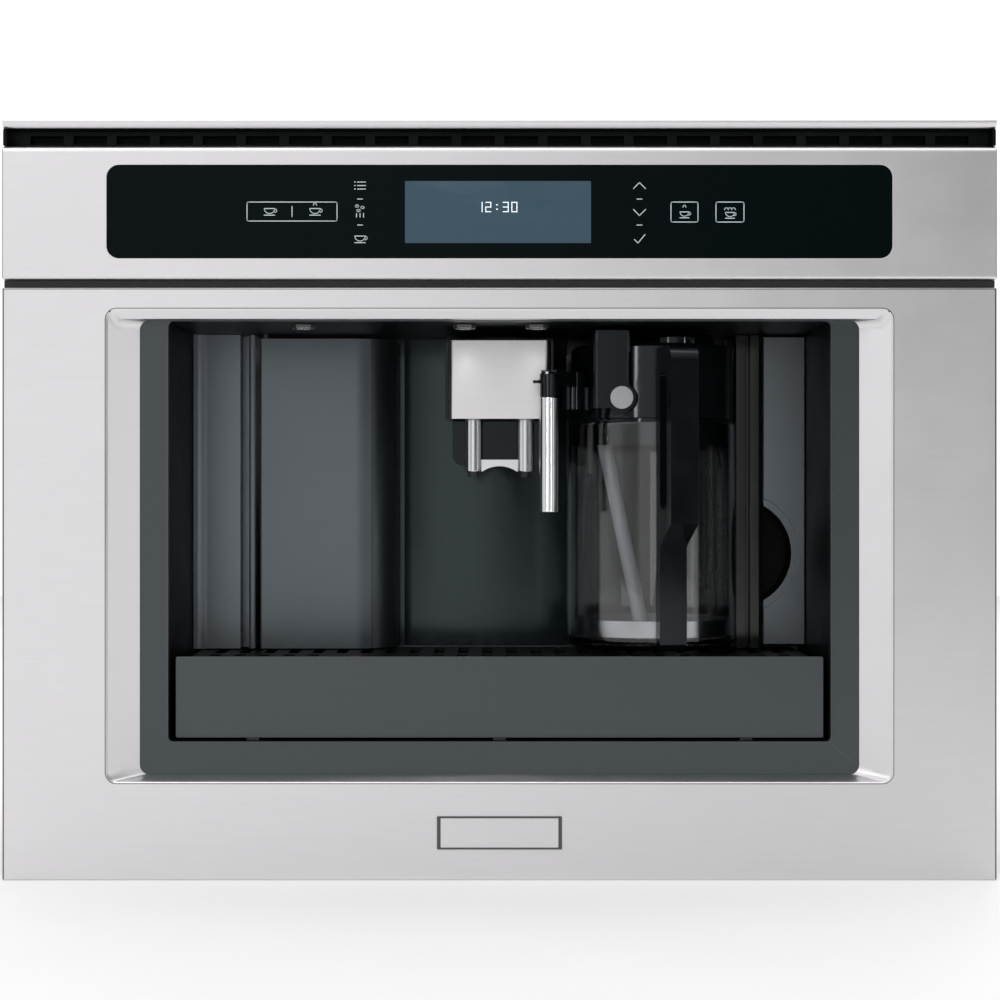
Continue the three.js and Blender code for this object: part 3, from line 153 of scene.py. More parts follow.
def area_light(name, location, target, size, power):
    data = bpy.data.lights.new(name, "AREA")
    data.shape = "RECTANGLE"
    data.size, data.size_y = size
    data.energy = power
    lamp = bpy.data.objects.new(name, data)
    lamp.location = location
    lamp.rotation_euler = (Vector(target) - Vector(location)).to_track_quat("-Z", "Y").to_euler()
    bpy.context.scene.collection.objects.link(lamp)
    return lamp


LAMPS = {"left": -121.0, "middle": -21.5, "right": 23.0}  # the x of each
LAMP_DEPTH = 40.0
LAMP_GLOW_Z = 332.5  # just under the lens


def niche_spots():
    """The light of the three small lamps in the niche's ceiling."""
    for side, x in LAMPS.items():
        data = bpy.data.lights.new(f"niche_glow_{side}", "SPOT")
        data.energy = 0.03
        data.spot_size = math.radians(130)
        data.spot_blend = 0.9
        data.shadow_soft_size = 0.006
        lamp = bpy.data.objects.new(f"niche_glow_{side}", data)
        lamp.location = place(x, LAMP_DEPTH, LAMP_GLOW_Z)
        bpy.context.scene.collection.objects.link(lamp)
        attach(lamp, "machine")


def make_studio():
    make_world()
    area_light("key_left", (-1.9, -2.0, 1.9), (0, -0.15, 0.2), (2.2, 1.6), 14)
    area_light("fill_right", (2.2, -1.2, 0.6), (0, -0.1, 0.22), (1.0, 1.8), 2)
    area_light("overhead", (0, -0.5, 2.5), (0, -0.2, 0.2), (2.0, 2.0), 14)
    area_light("rear_top", (0.4, 1.9, 2.0), (0, 0, 0.25), (1.6, 1.0), 14)
    niche_spots()
    bpy.context.scene.view_settings.view_transform = "Standard"
    bpy.context.scene.view_settings.look = "None"

    half = 3.5  # metres
    floor = bpy.data.meshes.new("floor")
    floor.from_pydata([(-half, -half, 0), (half, -half, 0), (half, half, 0), (-half, half, 0)],
                      [], [(0, 1, 2, 3)])
    board = bpy.data.objects.new("floor", floor)
    bpy.context.scene.collection.objects.link(board)
    pale = bpy.data.materials.new("pale_floor")
    pale.use_nodes = True
    add = nodes_of(pale)
    where = add("ShaderNodeTexCoord").outputs["Object"]
    mottle = add("ShaderNodeTexNoise", {"Vector": where, "Scale": 9.0, "Detail": 4.0})
    tone = add("ShaderNodeMapRange", {"Value": mottle.outputs[0], "To Min": 0.86, "To Max": 0.9})
    skin_node = add("ShaderNodeBsdfPrincipled", {
        "Base Color": tone.outputs[0], "Roughness": 0.85, "Emission Color": (1, 1, 1, 1),
        "Emission Strength": 0.1})
    add("ShaderNodeOutputMaterial", {"Surface": skin_node.outputs[0]})
    floor.materials.append(pale)


# ------------------------------------------------------------------ materials
MIX_A, MIX_B, MIX_RESULT = 6, 7, 2  # a Mix node's sockets for colours


def principled(name, color, roughness, *, grain=None, streaks=None, smudge=0.12, tint=0.06,
               wear=0.0, **sockets):
    """A finish with uneven gloss and tone, and a fine surface relief.

    grain is (size in mm, depth in mm, strength); streaks stretches the relief along x;
    wear lightens the raised edges.
    """
    mat = bpy.data.materials.new(name)
    mat.use_nodes = True
    add = nodes_of(mat)
    where = add("ShaderNodeTexCoord").outputs["Object"]
    cloud = add("ShaderNodeTexNoise", {"Vector": where, "Scale": 22.0, "Detail": 5.0, "Roughness": 0.6})
    rough = add("ShaderNodeMapRange", {
        "Value": cloud.outputs[0], "From Min": 0.3, "From Max": 0.7,
        "To Min": roughness * (1 - smudge), "To Max": roughness * (1 + smudge)})
    shade = add("ShaderNodeMapRange", {
        "Value": cloud.outputs[0], "From Min": 0.3, "From Max": 0.7,
        "To Min": 1 - tint / 2, "To Max": 1 + tint / 2})
    rough_out, shade_out = rough.outputs[0], shade.outputs[0]
    normal = None
    if grain:
        size, deep, strength = grain
        if streaks:
            along, across = streaks
            where = add("ShaderNodeMapping", {
                "Vector": where, "Scale": (1 / (along * MM), 1 / (across * MM), 1 / (across * MM))})
            where = where.outputs[0]
            relief = add("ShaderNodeTexNoise", {"Vector": where, "Scale": 1.0, "Detail": 3.0})
        else:
            relief = add("ShaderNodeTexNoise", {
                "Vector": where, "Scale": 1 / (size * MM), "Detail": 2.0, "Roughness": 0.55})
        bump = add("ShaderNodeBump", {
            "Height": relief.outputs[0], "Strength": strength, "Distance": deep * MM})
        normal = bump.outputs[0]
        fleck = add("ShaderNodeMapRange", {
            "Value": relief.outputs[0], "From Min": 0.3, "From Max": 0.7,
            "To Min": 1 - tint, "To Max": 1 + tint})
        shade_out = add("ShaderNodeMath", {0: shade_out, 1: fleck.outputs[0]},
                        operation="MULTIPLY").outputs[0]
    paint = add("ShaderNodeMix", {0: 1.0, MIX_A: (*color, 1), MIX_B: shade_out},
                data_type="RGBA", blend_type="MULTIPLY").outputs[MIX_RESULT]
    if wear:
        edge = add("ShaderNodeMapRange", {
            "Value": add("ShaderNodeNewGeometry").outputs["Pointiness"],
            "From Min": 0.52, "From Max": 0.62, "To Min": 0.0, "To Max": wear})
        rubbed = add("ShaderNodeMath", {0: edge.outputs[0], 1: cloud.outputs[0]}, operation="MULTIPLY")
        pale = (*[min(1, c * 1.6 + 0.05) for c in color], 1)
        paint = add("ShaderNodeMix", {0: rubbed.outputs[0], MIX_A: paint, MIX_B: pale},
                    data_type="RGBA").outputs[MIX_RESULT]
    inputs = {"Base Color": paint, "Roughness": rough_out}
    if normal:
        inputs["Normal"] = normal
    if streaks:
        inputs["Tangent"] = add("ShaderNodeTangent", direction_type="RADIAL", axis="Z").outputs[0]
    inputs.update(sockets)
    skin_node = add("ShaderNodeBsdfPrincipled", inputs)
    add("ShaderNodeOutputMaterial", {"Surface": skin_node.outputs[0]})
    return mat


def make_materials():
    return {
        "brushed_steel": principled(
            "brushed_steel", (0.70, 0.69, 0.70), 0.34, grain=(1, 0.004, 0.35), streaks=(28, 0.22),
            smudge=0.08, tint=0.025, wear=0.0, Metallic=1.0, Anisotropic=0.55,
            **{"Anisotropic Rotation": 0.25}),
        # dark steel: painted shade on the window's folds, the front's outer edges and the fascia's
        # ends; under the badge it is the rim's own colour
        "dark_steel_shade_and_rim": principled(
            "dark_steel_shade_and_rim", (0.10, 0.10, 0.105), 0.3, grain=(1, 0.004, 0.3), streaks=(28, 0.22),
            smudge=0.08, tint=0.03, Metallic=1.0),
        "chrome": principled(
            "chrome", (0.78, 0.79, 0.80), 0.07, grain=(0.8, 0.002, 0.1), tint=0.02, Metallic=1.0),
        "satin_chrome": principled(
            "satin_chrome", (0.72, 0.73, 0.74), 0.2, grain=(0.5, 0.003, 0.15), tint=0.03, Metallic=1.0),
        "galvanised_sheet": principled(
            "galvanised_sheet", (0.40, 0.42, 0.44), 0.38, grain=(6, 0.02, 0.12), smudge=0.3,
            tint=0.16, wear=0.3, Metallic=0.9),
        "satin_black_plastic": principled(
            "satin_black_plastic", (0.009, 0.012, 0.013), 0.34, grain=(0.55, 0.02, 0.4),
            smudge=0.12, tint=0.18, wear=0.5,
            **{"Specular IOR Level": 1.0, "Specular Tint": (0.86, 0.95, 1.0, 1)}),
        "textured_black": principled(
            "textured_black", (0.009, 0.012, 0.013), 0.34, grain=(1.0, 0.06, 0.6),
            smudge=0.12, tint=0.3, wear=0.3,
            **{"Specular IOR Level": 1.0, "Specular Tint": (0.86, 0.95, 1.0, 1)}),
        # near black with almost no sheen: painted shade on the trim's underside, the vent, the niche's
        # walls, ceiling and cup grille, and in the tank's notch
        "shade_black": principled(
            "shade_black", (0.0012, 0.0024, 0.0024), 0.4, grain=(0.8, 0.02, 0.4), smudge=0.12,
            tint=0.2, wear=0.3, **{"Specular IOR Level": 0.06}),
        "satin_grey_plastic": principled(
            "satin_grey_plastic", (0.040, 0.050, 0.058), 0.32, grain=(0.55, 0.02, 0.4),
            smudge=0.12, tint=0.18, wear=0.5, IOR=1.62,
            **{"Specular IOR Level": 1.0, "Specular Tint": (0.84, 0.94, 1.0, 1)}),
        # a lighter copy of the satin grey plastic: painted light on the niche's left column and the
        # tank's front, which sit in shade
        "lit_grey_plastic": principled(
            "lit_grey_plastic", (0.105, 0.120, 0.134), 0.32, grain=(0.55, 0.02, 0.4),
            smudge=0.12, tint=0.14, wear=0.4, IOR=1.62,
            **{"Specular IOR Level": 1.0, "Specular Tint": (0.84, 0.94, 1.0, 1)}),
        "gloss_black_plastic": principled(
            "gloss_black_plastic", (0.006, 0.008, 0.0085), 0.12, grain=(4, 0.004, 0.1), smudge=0.4,
            tint=0.1, wear=0.2),
        "panel_gloss": principled(
            "panel_gloss", (0.010, 0.015, 0.016), 0.16, grain=(4, 0.004, 0.1), smudge=0.3, tint=0.1,
            wear=0.2, **{"Specular IOR Level": 0.5, "Specular Tint": (0.80, 0.98, 1.0, 1)}),
        "deep_gloss": principled(
            "deep_gloss", (0.002, 0.003, 0.0035), 0.09, grain=(4, 0.004, 0.1), smudge=0.4, tint=0.1,
            wear=0.15, **{"Specular IOR Level": 0.3, "Specular Tint": (0.86, 0.95, 1.0, 1)}),
        "dark_glass": principled(
            "dark_glass", (0.0010, 0.0035, 0.0040), 0.045, grain=(5, 0.002, 0.05), smudge=0.5, tint=0.1,
            **{"Specular IOR Level": 0.05}),
        "display_glass": principled(
            "display_glass", (0.01, 0.02, 0.025), 0.05, grain=(5, 0.002, 0.05), smudge=0.5, tint=0.1,
            **{"Specular IOR Level": 0.05, "Emission Color": (0.041, 0.072, 0.097, 1),
               "Emission Strength": 1.0}),
        "pale_marks": principled(
            "pale_marks", (0.42, 0.46, 0.48), 0.5, grain=(0.3, 0.004, 0.3), tint=0.1,
            **{"Emission Color": (0.30, 0.35, 0.37, 1), "Emission Strength": 0.6}),
        "bright_marks": principled(
            "bright_marks", (0.70, 0.74, 0.76), 0.5, grain=(0.3, 0.004, 0.3), tint=0.1,
            **{"Emission Color": (0.75, 0.82, 0.86, 1), "Emission Strength": 0.8}),
        "black_rubber": principled(
            "black_rubber", (0.010, 0.011, 0.011), 0.62, grain=(0.4, 0.03, 0.5), tint=0.2, wear=0.2),
        "clear_plastic": principled(
            "clear_plastic", (0.97, 0.985, 0.99), 0.02, grain=(9, 0.01, 0.06), smudge=0.6, tint=0.01,
            IOR=1.49, **{"Transmission Weight": 1.0}),
        "milky_plastic": principled(
            "milky_plastic", (0.50, 0.53, 0.55), 0.3, grain=(2, 0.01, 0.15), smudge=0.08, tint=0.02,
            IOR=1.49, **{"Transmission Weight": 0.35}),
        "frosted_tube": principled(
            "frosted_tube", (0.40, 0.42, 0.44), 0.25, grain=(2, 0.01, 0.1), smudge=0.2, tint=0.03,
            IOR=1.49, **{"Transmission Weight": 0.2}),
        # steel for the ring that paints the bright band of light in the jug's foot
        "glare_band_steel": principled(
            "glare_band_steel", (0.36, 0.36, 0.38), 0.22, grain=(0.5, 0.003, 0.15), tint=0.03, Metallic=1.0),
        "grey_plastic": principled(
            "grey_plastic", (0.40, 0.41, 0.42), 0.32, grain=(0.6, 0.015, 0.3), tint=0.08, wear=0.2),
        "lamp_lens": principled(
            "lamp_lens", (0.012, 0.014, 0.014), 0.1, grain=(0.8, 0.02, 0.2), tint=0.05, IOR=1.6,
            **{"Emission Color": (1, 0.97, 0.9, 1), "Emission Strength": 0.01}),
        "cast_aluminium": principled(
            "cast_aluminium", (0.60, 0.61, 0.62), 0.45, grain=(1.2, 0.05, 0.5), smudge=0.2, tint=0.1,
            wear=0.3, Metallic=1.0),
        "float_red": principled(
            "float_red", (0.42, 0.04, 0.03), 0.35, grain=(0.8, 0.01, 0.2), tint=0.1),
    }


# ------------------------------------------------------------------ mesh helpers
def finish_piece(name, bm, body, material, replaces=(), weighted=True, sharp=48):
    """Turns a bmesh in metres into a piece that rides on a body."""
    bmesh.ops.recalc_face_normals(bm, faces=bm.faces)
    for face in bm.faces:
        face.smooth = True
    mesh = bpy.data.meshes.new(name)
    bm.to_mesh(mesh)
    bm.free()
    mesh.materials.append(material)
    piece = bpy.data.objects.new(name, mesh)
    bpy.context.scene.collection.objects.link(piece)
    if weighted:
        mesh.set_sharp_from_angle(angle=math.radians(sharp))
        normals = piece.modifiers.new("even_normals", "WEIGHTED_NORMAL")
        normals.keep_sharp = True
    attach(piece, body)
    if replaces:
        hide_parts(*replaces)
    return piece


def round_edges(bm, width, segments=2, where=None, angle=25):
    """Rounds the edges that turn by more than the angle, where their middle passes the test."""
    limit = math.radians(angle)
    edges = [e for e in bm.edges if len(e.link_faces) == 2 and e.calc_face_angle(0) > limit
             and (where is None or where(*unplace((e.verts[0].co + e.verts[1].co) / 2)))]
    if edges:
        bmesh.ops.bevel(bm, geom=edges, offset=width * MM, segments=segments, profile=0.5,
                        affect="EDGES", clamp_overlap=True, material=0)


def skin(node, rounds=((0.35, 2, None),), material=None, second=None, where=None, evenness=50,
         sharp=48):
    """A finer piece over a node's own shape: flat faces joined, edges rounded.

    second is a material for the faces whose middle passes the test.
    """
    source = NODES[node]
    bm = bmesh.new()
    bm.from_mesh(source.data)
    bmesh.ops.remove_doubles(bm, verts=bm.verts, dist=1e-6)
    bmesh.ops.dissolve_limit(bm, angle_limit=math.radians(0.6), verts=bm.verts, edges=bm.edges)
    for face in bm.faces:
        face.material_index = 0
    for rounding in rounds:
        round_edges(bm, *rounding)
    if where:
        for face in bm.faces:
            if where(*unplace(face.calc_center_median()), face.normal):
                face.material_index = 1
    slot = SLOT_OF[node]
    piece = finish_piece(f"{node}_skin", bm, source["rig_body"], material or FINISH[slot], (node,),
                         sharp=sharp)
    if second:
        piece.data.materials.append(second)
    piece.modifiers["even_normals"].weight = evenness
    return piece


def block(name, xs, depths, zs, body, material, rounding):
    """A block with rounded edges, each pair from low to high."""
    bm = bmesh.new()
    corners = [bm.verts.new(place(x, depth, z)) for z in zs for depth in depths for x in xs]
    for face in ((0, 1, 3, 2), (4, 6, 7, 5), (0, 4, 5, 1), (2, 3, 7, 6), (0, 2, 6, 4), (1, 5, 7, 3)):
        bm.faces.new([corners[i] for i in face])
    round_edges(bm, rounding, 2)
    return finish_piece(name, bm, body, material)


def lathe(bm, profile, centre, segments=96):
    """Turns a profile of (radius, z) about an upright axis; a radius of 0 closes on the axis."""
    x, depth = centre
    rings = []
    for radius, z in profile:
        if radius < 1e-6:
            rings.append([bm.verts.new(place(x, depth, z))])
            continue
        ring = []
        for i in range(segments):
            turn = 2 * math.pi * i / segments
            u, v = radius * math.cos(turn), radius * math.sin(turn)
            ring.append(bm.verts.new(place(x + u, depth + v, z)))
        rings.append(ring)
    for a, b in zip(rings, rings[1:]):
        if len(a) == 1 and len(b) == 1:
            continue
        for i in range(segments):
            j = (i + 1) % segments
            if len(a) == 1:
                bm.faces.new((a[0], b[i], b[j]))
            elif len(b) == 1:
                bm.faces.new((a[i], a[j], b[0]))
            else:
                bm.faces.new((a[i], a[j], b[j], b[i]))
    return rings


def filleted(points, closed=False):
    """Rounds the corners of a polyline whose points are (u, v) or (u, v, radius)."""
    count = len(points)
    result = []
    for i, point in enumerate(points):
        radius = point[2] if len(point) > 2 else 0
        corner = Vector(point[:2])
        if not radius or (not closed and i in (0, count - 1)):
            result.append(tuple(corner))
            continue
        before = (Vector(points[i - 1][:2]) - corner)
        after = (Vector(points[(i + 1) % count][:2]) - corner)
        half = before.angle(after) / 2
        cut = min(radius / math.tan(half), before.length * 0.49, after.length * 0.49)
        start, end = corner + before.normalized() * cut, corner + after.normalized() * cut
        steps = max(2, round((math.pi - 2 * half) / 0.28))
        for k in range(steps + 1):
            t = k / steps
            result.append(tuple(start * (1 - t) ** 2 + corner * 2 * t * (1 - t) + end * t ** 2))
    return result


def ring_profile(bm, profile, centre, segments=96):
    """A lathe whose profile closes on itself away from the axis."""
    rings = lathe(bm, profile, centre, segments)
    first, last = rings[0], rings[-1]
    for i in range(segments):
        j = (i + 1) % segments
        bm.faces.new((last[i], last[j], first[j], first[i]))


def turned(name, profile, centre, body, material, replaces=(), ring=False, segments=96):
    bm = bmesh.new()
    (ring_profile if ring else lathe)(bm, profile, centre, segments)
    return finish_piece(name, bm, body, material, replaces)


def slab(bm, outline, depth0, depth1):
    """A plate from an outline of (x, z), between two depths."""
    front = [bm.verts.new(place(x, depth0, z)) for x, z in outline]
    back = [bm.verts.new(place(x, depth1, z)) for x, z in outline]
    bm.faces.new(front)
    bm.faces.new(back[::-1])
    for i in range(len(outline)):
        j = (i + 1) % len(outline)
        bm.faces.new((front[i], back[i], back[j], front[j]))


def rounded_box(x0, x1, z0, z1, radius):
    return filleted([(x0, z0, radius), (x1, z0, radius), (x1, z1, radius), (x0, z1, radius)],
                    closed=True)


def stroke(bm, points, width, depth0, depth1):
    """A thin raised line along points of (x, z)."""
    for (x0, z0), (x1, z1) in zip(points, points[1:]):
        along = Vector((x1 - x0, z1 - z0))
        if along.length < 1e-6:
            continue
        along.normalize()
        side = Vector((-along.y, along.x)) * width / 2
        tip = along * width / 2
        corners = [Vector((x0, z0)) - tip + side, Vector((x0, z0)) - tip - side,
                   Vector((x1, z1)) + tip - side, Vector((x1, z1)) + tip + side]
        slab(bm, [tuple(c) for c in corners], depth0, depth1)


def screws(name, places, axis, body, material, radius=3.4, segments=28):
    """Pan-head screws with a square recess; axis is the outward direction."""
    bm = bmesh.new()
    upright = Vector((0, 0, 1)).rotation_difference(Vector(axis)).to_matrix().to_4x4()
    well_half, well_floor = 1.0, 1.0
    profile = filleted([(radius, 0), (radius, 1.1, 0.7), (0.62 * radius, 1.9, 0.6)])
    turns = [2 * math.pi * i / segments for i in range(segments)]
    for x, depth, z in places:
        local = Matrix.Translation(place(x, depth, z)) @ upright

        def point(u, v, height):
            return bm.verts.new(local @ (Vector((u, v, height)) * MM))

        rings = [[point(r * math.cos(turn), r * math.sin(turn), h) for turn in turns]
                 for r, h in profile]
        for a, b in zip(rings, rings[1:]):
            for i in range(segments):
                j = (i + 1) % segments
                bm.faces.new((a[i], a[j], b[j], b[i]))
        bm.faces.new(rings[0][::-1])
        corners = ((1, 0), (0, 1), (-1, 0), (0, -1))
        brim, well = [[point(u * well_half, v * well_half, h) for u, v in corners]
                      for h in (profile[-1][1], well_floor)]
        quarter = segments // 4
        for k in range(4):
            following = (k + 1) % 4
            arc_points = [rings[-1][(k * quarter + i) % segments] for i in range(quarter + 1)]
            bm.faces.new(arc_points + [brim[following], brim[k]])
            bm.faces.new((brim[k], brim[following], well[following], well[k]))
        bm.faces.new(well)
    return finish_piece(name, bm, body, material)


# ------------------------------------------------------------------ the pieces
make_camera()
make_studio()
FINISH = make_materials()


def badge_place(x, z):
    return abs(x) < 40 and z < 42


def window_place(x, z):
    return abs(x) < 240 and 50 < z < 345


def steel_front():
    """The steel with rounded folds and the niche's linings; painted shade in dark steel on the folds'
    outermost faces and on the outer edges, and near black on several linings.
    """
    on_front = 0.5  # depths below this are the front's own edges
    frame_top = 354

    def fold(x, depth, z):
        return depth < on_front and window_place(x, z)

    def outline(x, depth, z):
        return depth < on_front and (abs(x) > 297 or z < 0.5 or z > frame_top)

    def behind(x, depth, z):
        return depth >= on_front and not badge_place(x, z)

    # painted shade: faces of the folds and outer edges that turn away from the front get the dark steel
    def shaded(x, depth, z, normal):
        limit = 0.08 if window_place(x, z) else 1.2
        turned_away = normal.y > -0.9995
        return depth < limit and turned_away and z < frame_top - 0.2 and not badge_place(x, z)

    skin("front_frame", ((1.5, 4, fold, 15), (1.1, 3, outline, 50), (0.25, 2, behind, 50)),
         second=FINISH["dark_steel_shade_and_rim"], where=shaded, evenness=100, sharp=32)
    # painted shade: the fascia's side ends in dark steel
    skin("control_fascia", ((0.6, 3, lambda x, d, z: abs(x) > 296 or z < 360.5),
                            (0.25, 2, lambda x, d, z: abs(x) < 290 and d < 4)),
         second=FINISH["dark_steel_shade_and_rim"], where=lambda x, d, z, n: abs(x) > 296.85 and d < 0.7)
    # painted shade: the trim's downward faces in near black
    skin("top_trim", ((0.2, 2, None),), second=FINISH["shade_black"],
         where=lambda x, d, z, n: n.z < -0.85 and d < 12)
    # painted shade: the vent in near black with almost no sheen
    skin("vent_grille", ((0.25, 2, None),), FINISH["shade_black"])
    skin("inner_bezel", ((0.35, 2, None),), FINISH["textured_black"], evenness=100)
    # painted light and shade: the left column's front in a lighter copy of the grey plastic, its side
    # face in near black
    skin("niche_left_wall", material=FINISH["lit_grey_plastic"], second=FINISH["shade_black"],
         where=lambda x, d, z, n: x < -199.5)
    # painted shade: the right wall, the cup grille and the ceiling in near black with almost no sheen
    skin("niche_right_wall", material=FINISH["shade_black"])
    skin("cup_grille", material=FINISH["shade_black"])
    skin("niche_ceiling", material=FINISH["shade_black"])
    # painted shade: the door's rolled right edge in black plastic
    skin("service_door", material=FINISH["satin_grey_plastic"], second=FINISH["satin_black_plastic"],
         where=lambda x, d, z, n: n.x > 0.35)


steel_front()

PLAIN_SKINS = (
    "front_bulkhead", "base_pan", "side_panel_left", "side_panel_right", "rear_panel", "top_cover",
    "runner_outer_left", "runner_outer_right", "runner_middle_left", "runner_middle_right",
    "runner_inner_left", "runner_inner_right", "mains_inlet", "mains_switch", "niche_floor",
    "tank_bay_post", "milk_bay_panel", "steam_nozzle",
    "drip_tray_body", "drip_tray_fascia", "spout_cover", "bean_hopper", "hopper_lid", "grinder",
    "brew_unit", "brew_carriage", "grounds_container", "pump", "thermoblock", "control_board",
    "grind_knob", "tray_float", "clean_button", "tank_body",
)
for name in PLAIN_SKINS:
    skin(name)

skin("niche_back_panel", material=FINISH["panel_gloss"])
# painted light: the tank's front in the lighter copy of the grey plastic
skin("tank_front", material=FINISH["lit_grey_plastic"])
skin("spout_body", material=FINISH["deep_gloss"])
skin("milk_spout_arm", material=FINISH["deep_gloss"])
skin("froth_knob", ((0.8, 3, None, 40),), FINISH["deep_gloss"])
skin("jug_lid", ((0.9, 3, lambda x, d, z: d < 50 and 57 < x < 83, 40), (0.35, 2, None, 50)),
     FINISH["deep_gloss"])
skin("jug_handle", ((4.4, 5, None, 40),), FINISH["deep_gloss"])
skin("dip_tube", material=FINISH["frosted_tube"])
for side in LAMPS:
    skin(f"niche_lamp_{side}", ((0.3, 2, None, 40),), FINISH["lamp_lens"])


# ------------------------------------------------------------------ control panel
GLASS_FRONT, GLASS_BACK = 0.2, 4.2
WINDOW_FRONT, WINDOW_BACK = 0.1, 0.3
MARK_FRONT, MARK_BACK, MARK_WIDTH = 0.08, 0.26, 0.5
DIGIT_FRONT, DIGIT_BACK, BAR_WIDTH = 0.02, 0.12, 0.5


def px_line(points):
    """Points of (x, z) in millimetres for a drawing given in the frame's pixels."""
    return [from_pixel(px, py) for px, py in points]


def px_box(x0, y0, x1, y1, radius=1.2):
    left, top = from_pixel(x0, y0)
    right, bottom = from_pixel(x1, y1)
    outline = rounded_box(left, right, bottom, top, radius)
    return outline + outline[:1]


def arc(cx, cy, rx, ry, start, end, steps=10):
    """An arc in pixels, angles in degrees, clockwise from the right as the pixels run."""
    return [(cx + rx * math.cos(math.radians(start + (end - start) * k / steps)),
             cy + ry * math.sin(math.radians(start + (end - start) * k / steps)))
            for k in range(steps + 1)]


def cup(cx, cy, size=1.0):
    """Strokes of a small cup on its saucer, in pixels."""
    half, height = 5.2 * size, 5.0 * size
    brim, saucer = cy - height / 2, cy + height / 2 + 1.6
    return [arc(cx, brim, half, height, 0, 180), [(cx - half, brim), (cx + half, brim)],
            arc(cx + half, cy - 0.5 * size, 2.0 * size, 1.7 * size, -90, 90, 6),
            [(cx - half, saucer), (cx + half, saucer)]]


def list_mark(x, y, pitch=3.5):
    """Three short lines, each behind a dot."""
    lines = []
    for row in (y - pitch, y, y + pitch):
        lines += [[(x - 5.5, row), (x - 4.7, row)], [(x - 2.5, row), (x + 5.5, row)]]
    return lines


def beans_mark(x, y):
    """Three beans over three falling lines."""
    spots = ((-3, -5), (2.5, -3.5), (-1.5, -0.5))
    beans = [arc(x + dx, y + dy, 1.7, 1.1, 0, 360, 8) for dx, dy in spots]
    return beans + [[(x + dx, y + 2.5), (x + dx, y + 6)] for dx in (-3.5, 0, 3.5)]


def chevron(x, y, rise):
    """An arrowhead that points up for a negative rise."""
    return [(x - 6, y - rise), (x, y), (x + 6, y - rise)]


# the marks' places, in pixels of the photograph's frame
KEY_FRAMES = ((247, 202, 337, 221), (671, 202, 698, 222), (716, 202, 744, 222))
SMALL_CUP, LARGE_CUP = (269.5, 211), (315, 211)
CUP_DIVIDER = [(292, 206.5), (292, 216.5)]
LEFT_COLUMN, RIGHT_COLUMN, DASH_ROWS = 360, 639.5, (199, 225)
LIST_ROW, BEANS_ROW, CUP_ROW = 185.5, 211, 238.5
UP_ROW, DOWN_ROW = 182.5, 215.5
CHECK_MARK = [(634.5, 239.5), (638, 243), (645, 234.5)]
WATER_CUP, MILK_CUP, FROTH_ROW = (684.5, 214), (730, 214.5), 209.5
DISPLAY = (405, 181, 591, 243)
CLOCK = (497, 207)


def touch_marks():
    """The pale touch marks on the glass: cups, list, beans, arrows and a check mark."""
    strokes = [CUP_DIVIDER] + cup(*SMALL_CUP) + cup(*LARGE_CUP)
    strokes.append(arc(LARGE_CUP[0], LARGE_CUP[1] - 6, 1.6, 2.0, 180, 360, 5))
    for x in (LEFT_COLUMN, RIGHT_COLUMN):
        strokes += [[(x - 2.4, y), (x + 2.4, y)] for y in DASH_ROWS]
    strokes += list_mark(LEFT_COLUMN, LIST_ROW) + beans_mark(LEFT_COLUMN, BEANS_ROW)
    strokes += cup(LEFT_COLUMN, CUP_ROW)
    strokes += [chevron(RIGHT_COLUMN, UP_ROW, -6), chevron(RIGHT_COLUMN, DOWN_ROW, 6), CHECK_MARK]
    strokes += cup(*WATER_CUP, 0.85)
    strokes.append(arc(WATER_CUP[0], WATER_CUP[1] - 7, 1.4, 1.8, 180, 360, 5))
    strokes += cup(*MILK_CUP, 0.85)
    strokes += [arc(MILK_CUP[0] + dx, FROTH_ROW, 1.9, 1.7, 180, 360, 6) for dx in (-3.5, 0, 3.5)]
    bm = bmesh.new()
    for line in strokes:
        stroke(bm, px_line(line), MARK_WIDTH, MARK_FRONT, MARK_BACK)
    for box in KEY_FRAMES:
        stroke(bm, px_box(*box), MARK_WIDTH, MARK_FRONT, MARK_BACK)
    finish_piece("touch_key_marks", bm, "machine", FINISH["pale_marks"], weighted=False)


DIGITS = {"0": "abcdef", "1": "bc", "2": "abged", "3": "abgcd"}


def clock_digits():
    """The time on the display, in bars, a generic reading of half past twelve."""
    width, height, pitch = 3.0, 5.6, 5.2
    dot = {"size": 0.6, "half": 0.25, "rise": 1.3}
    bm = bmesh.new()
    centre_x, centre_z = from_pixel(*CLOCK)
    for k, digit in enumerate("12 30"):
        if digit == " ":
            continue
        x0 = centre_x + (k - 2) * pitch - width / 2
        x1, low, mid, high = x0 + width, centre_z - height / 2, centre_z, centre_z + height / 2
        bars = {"a": ((x0, high), (x1, high)), "g": ((x0, mid), (x1, mid)), "d": ((x0, low), (x1, low)),
                "b": ((x1, mid), (x1, high)), "c": ((x1, low), (x1, mid)),
                "f": ((x0, mid), (x0, high)), "e": ((x0, low), (x0, mid))}
        for key in DIGITS[digit]:
            stroke(bm, bars[key], BAR_WIDTH, DIGIT_FRONT, DIGIT_BACK)
    for z in (centre_z - dot["rise"], centre_z + dot["rise"]):
        stroke(bm, ((centre_x - dot["half"], z), (centre_x + dot["half"], z)), dot["size"],
               DIGIT_FRONT, DIGIT_BACK)
    finish_piece("display_digits", bm, "machine", FINISH["bright_marks"], weighted=False)


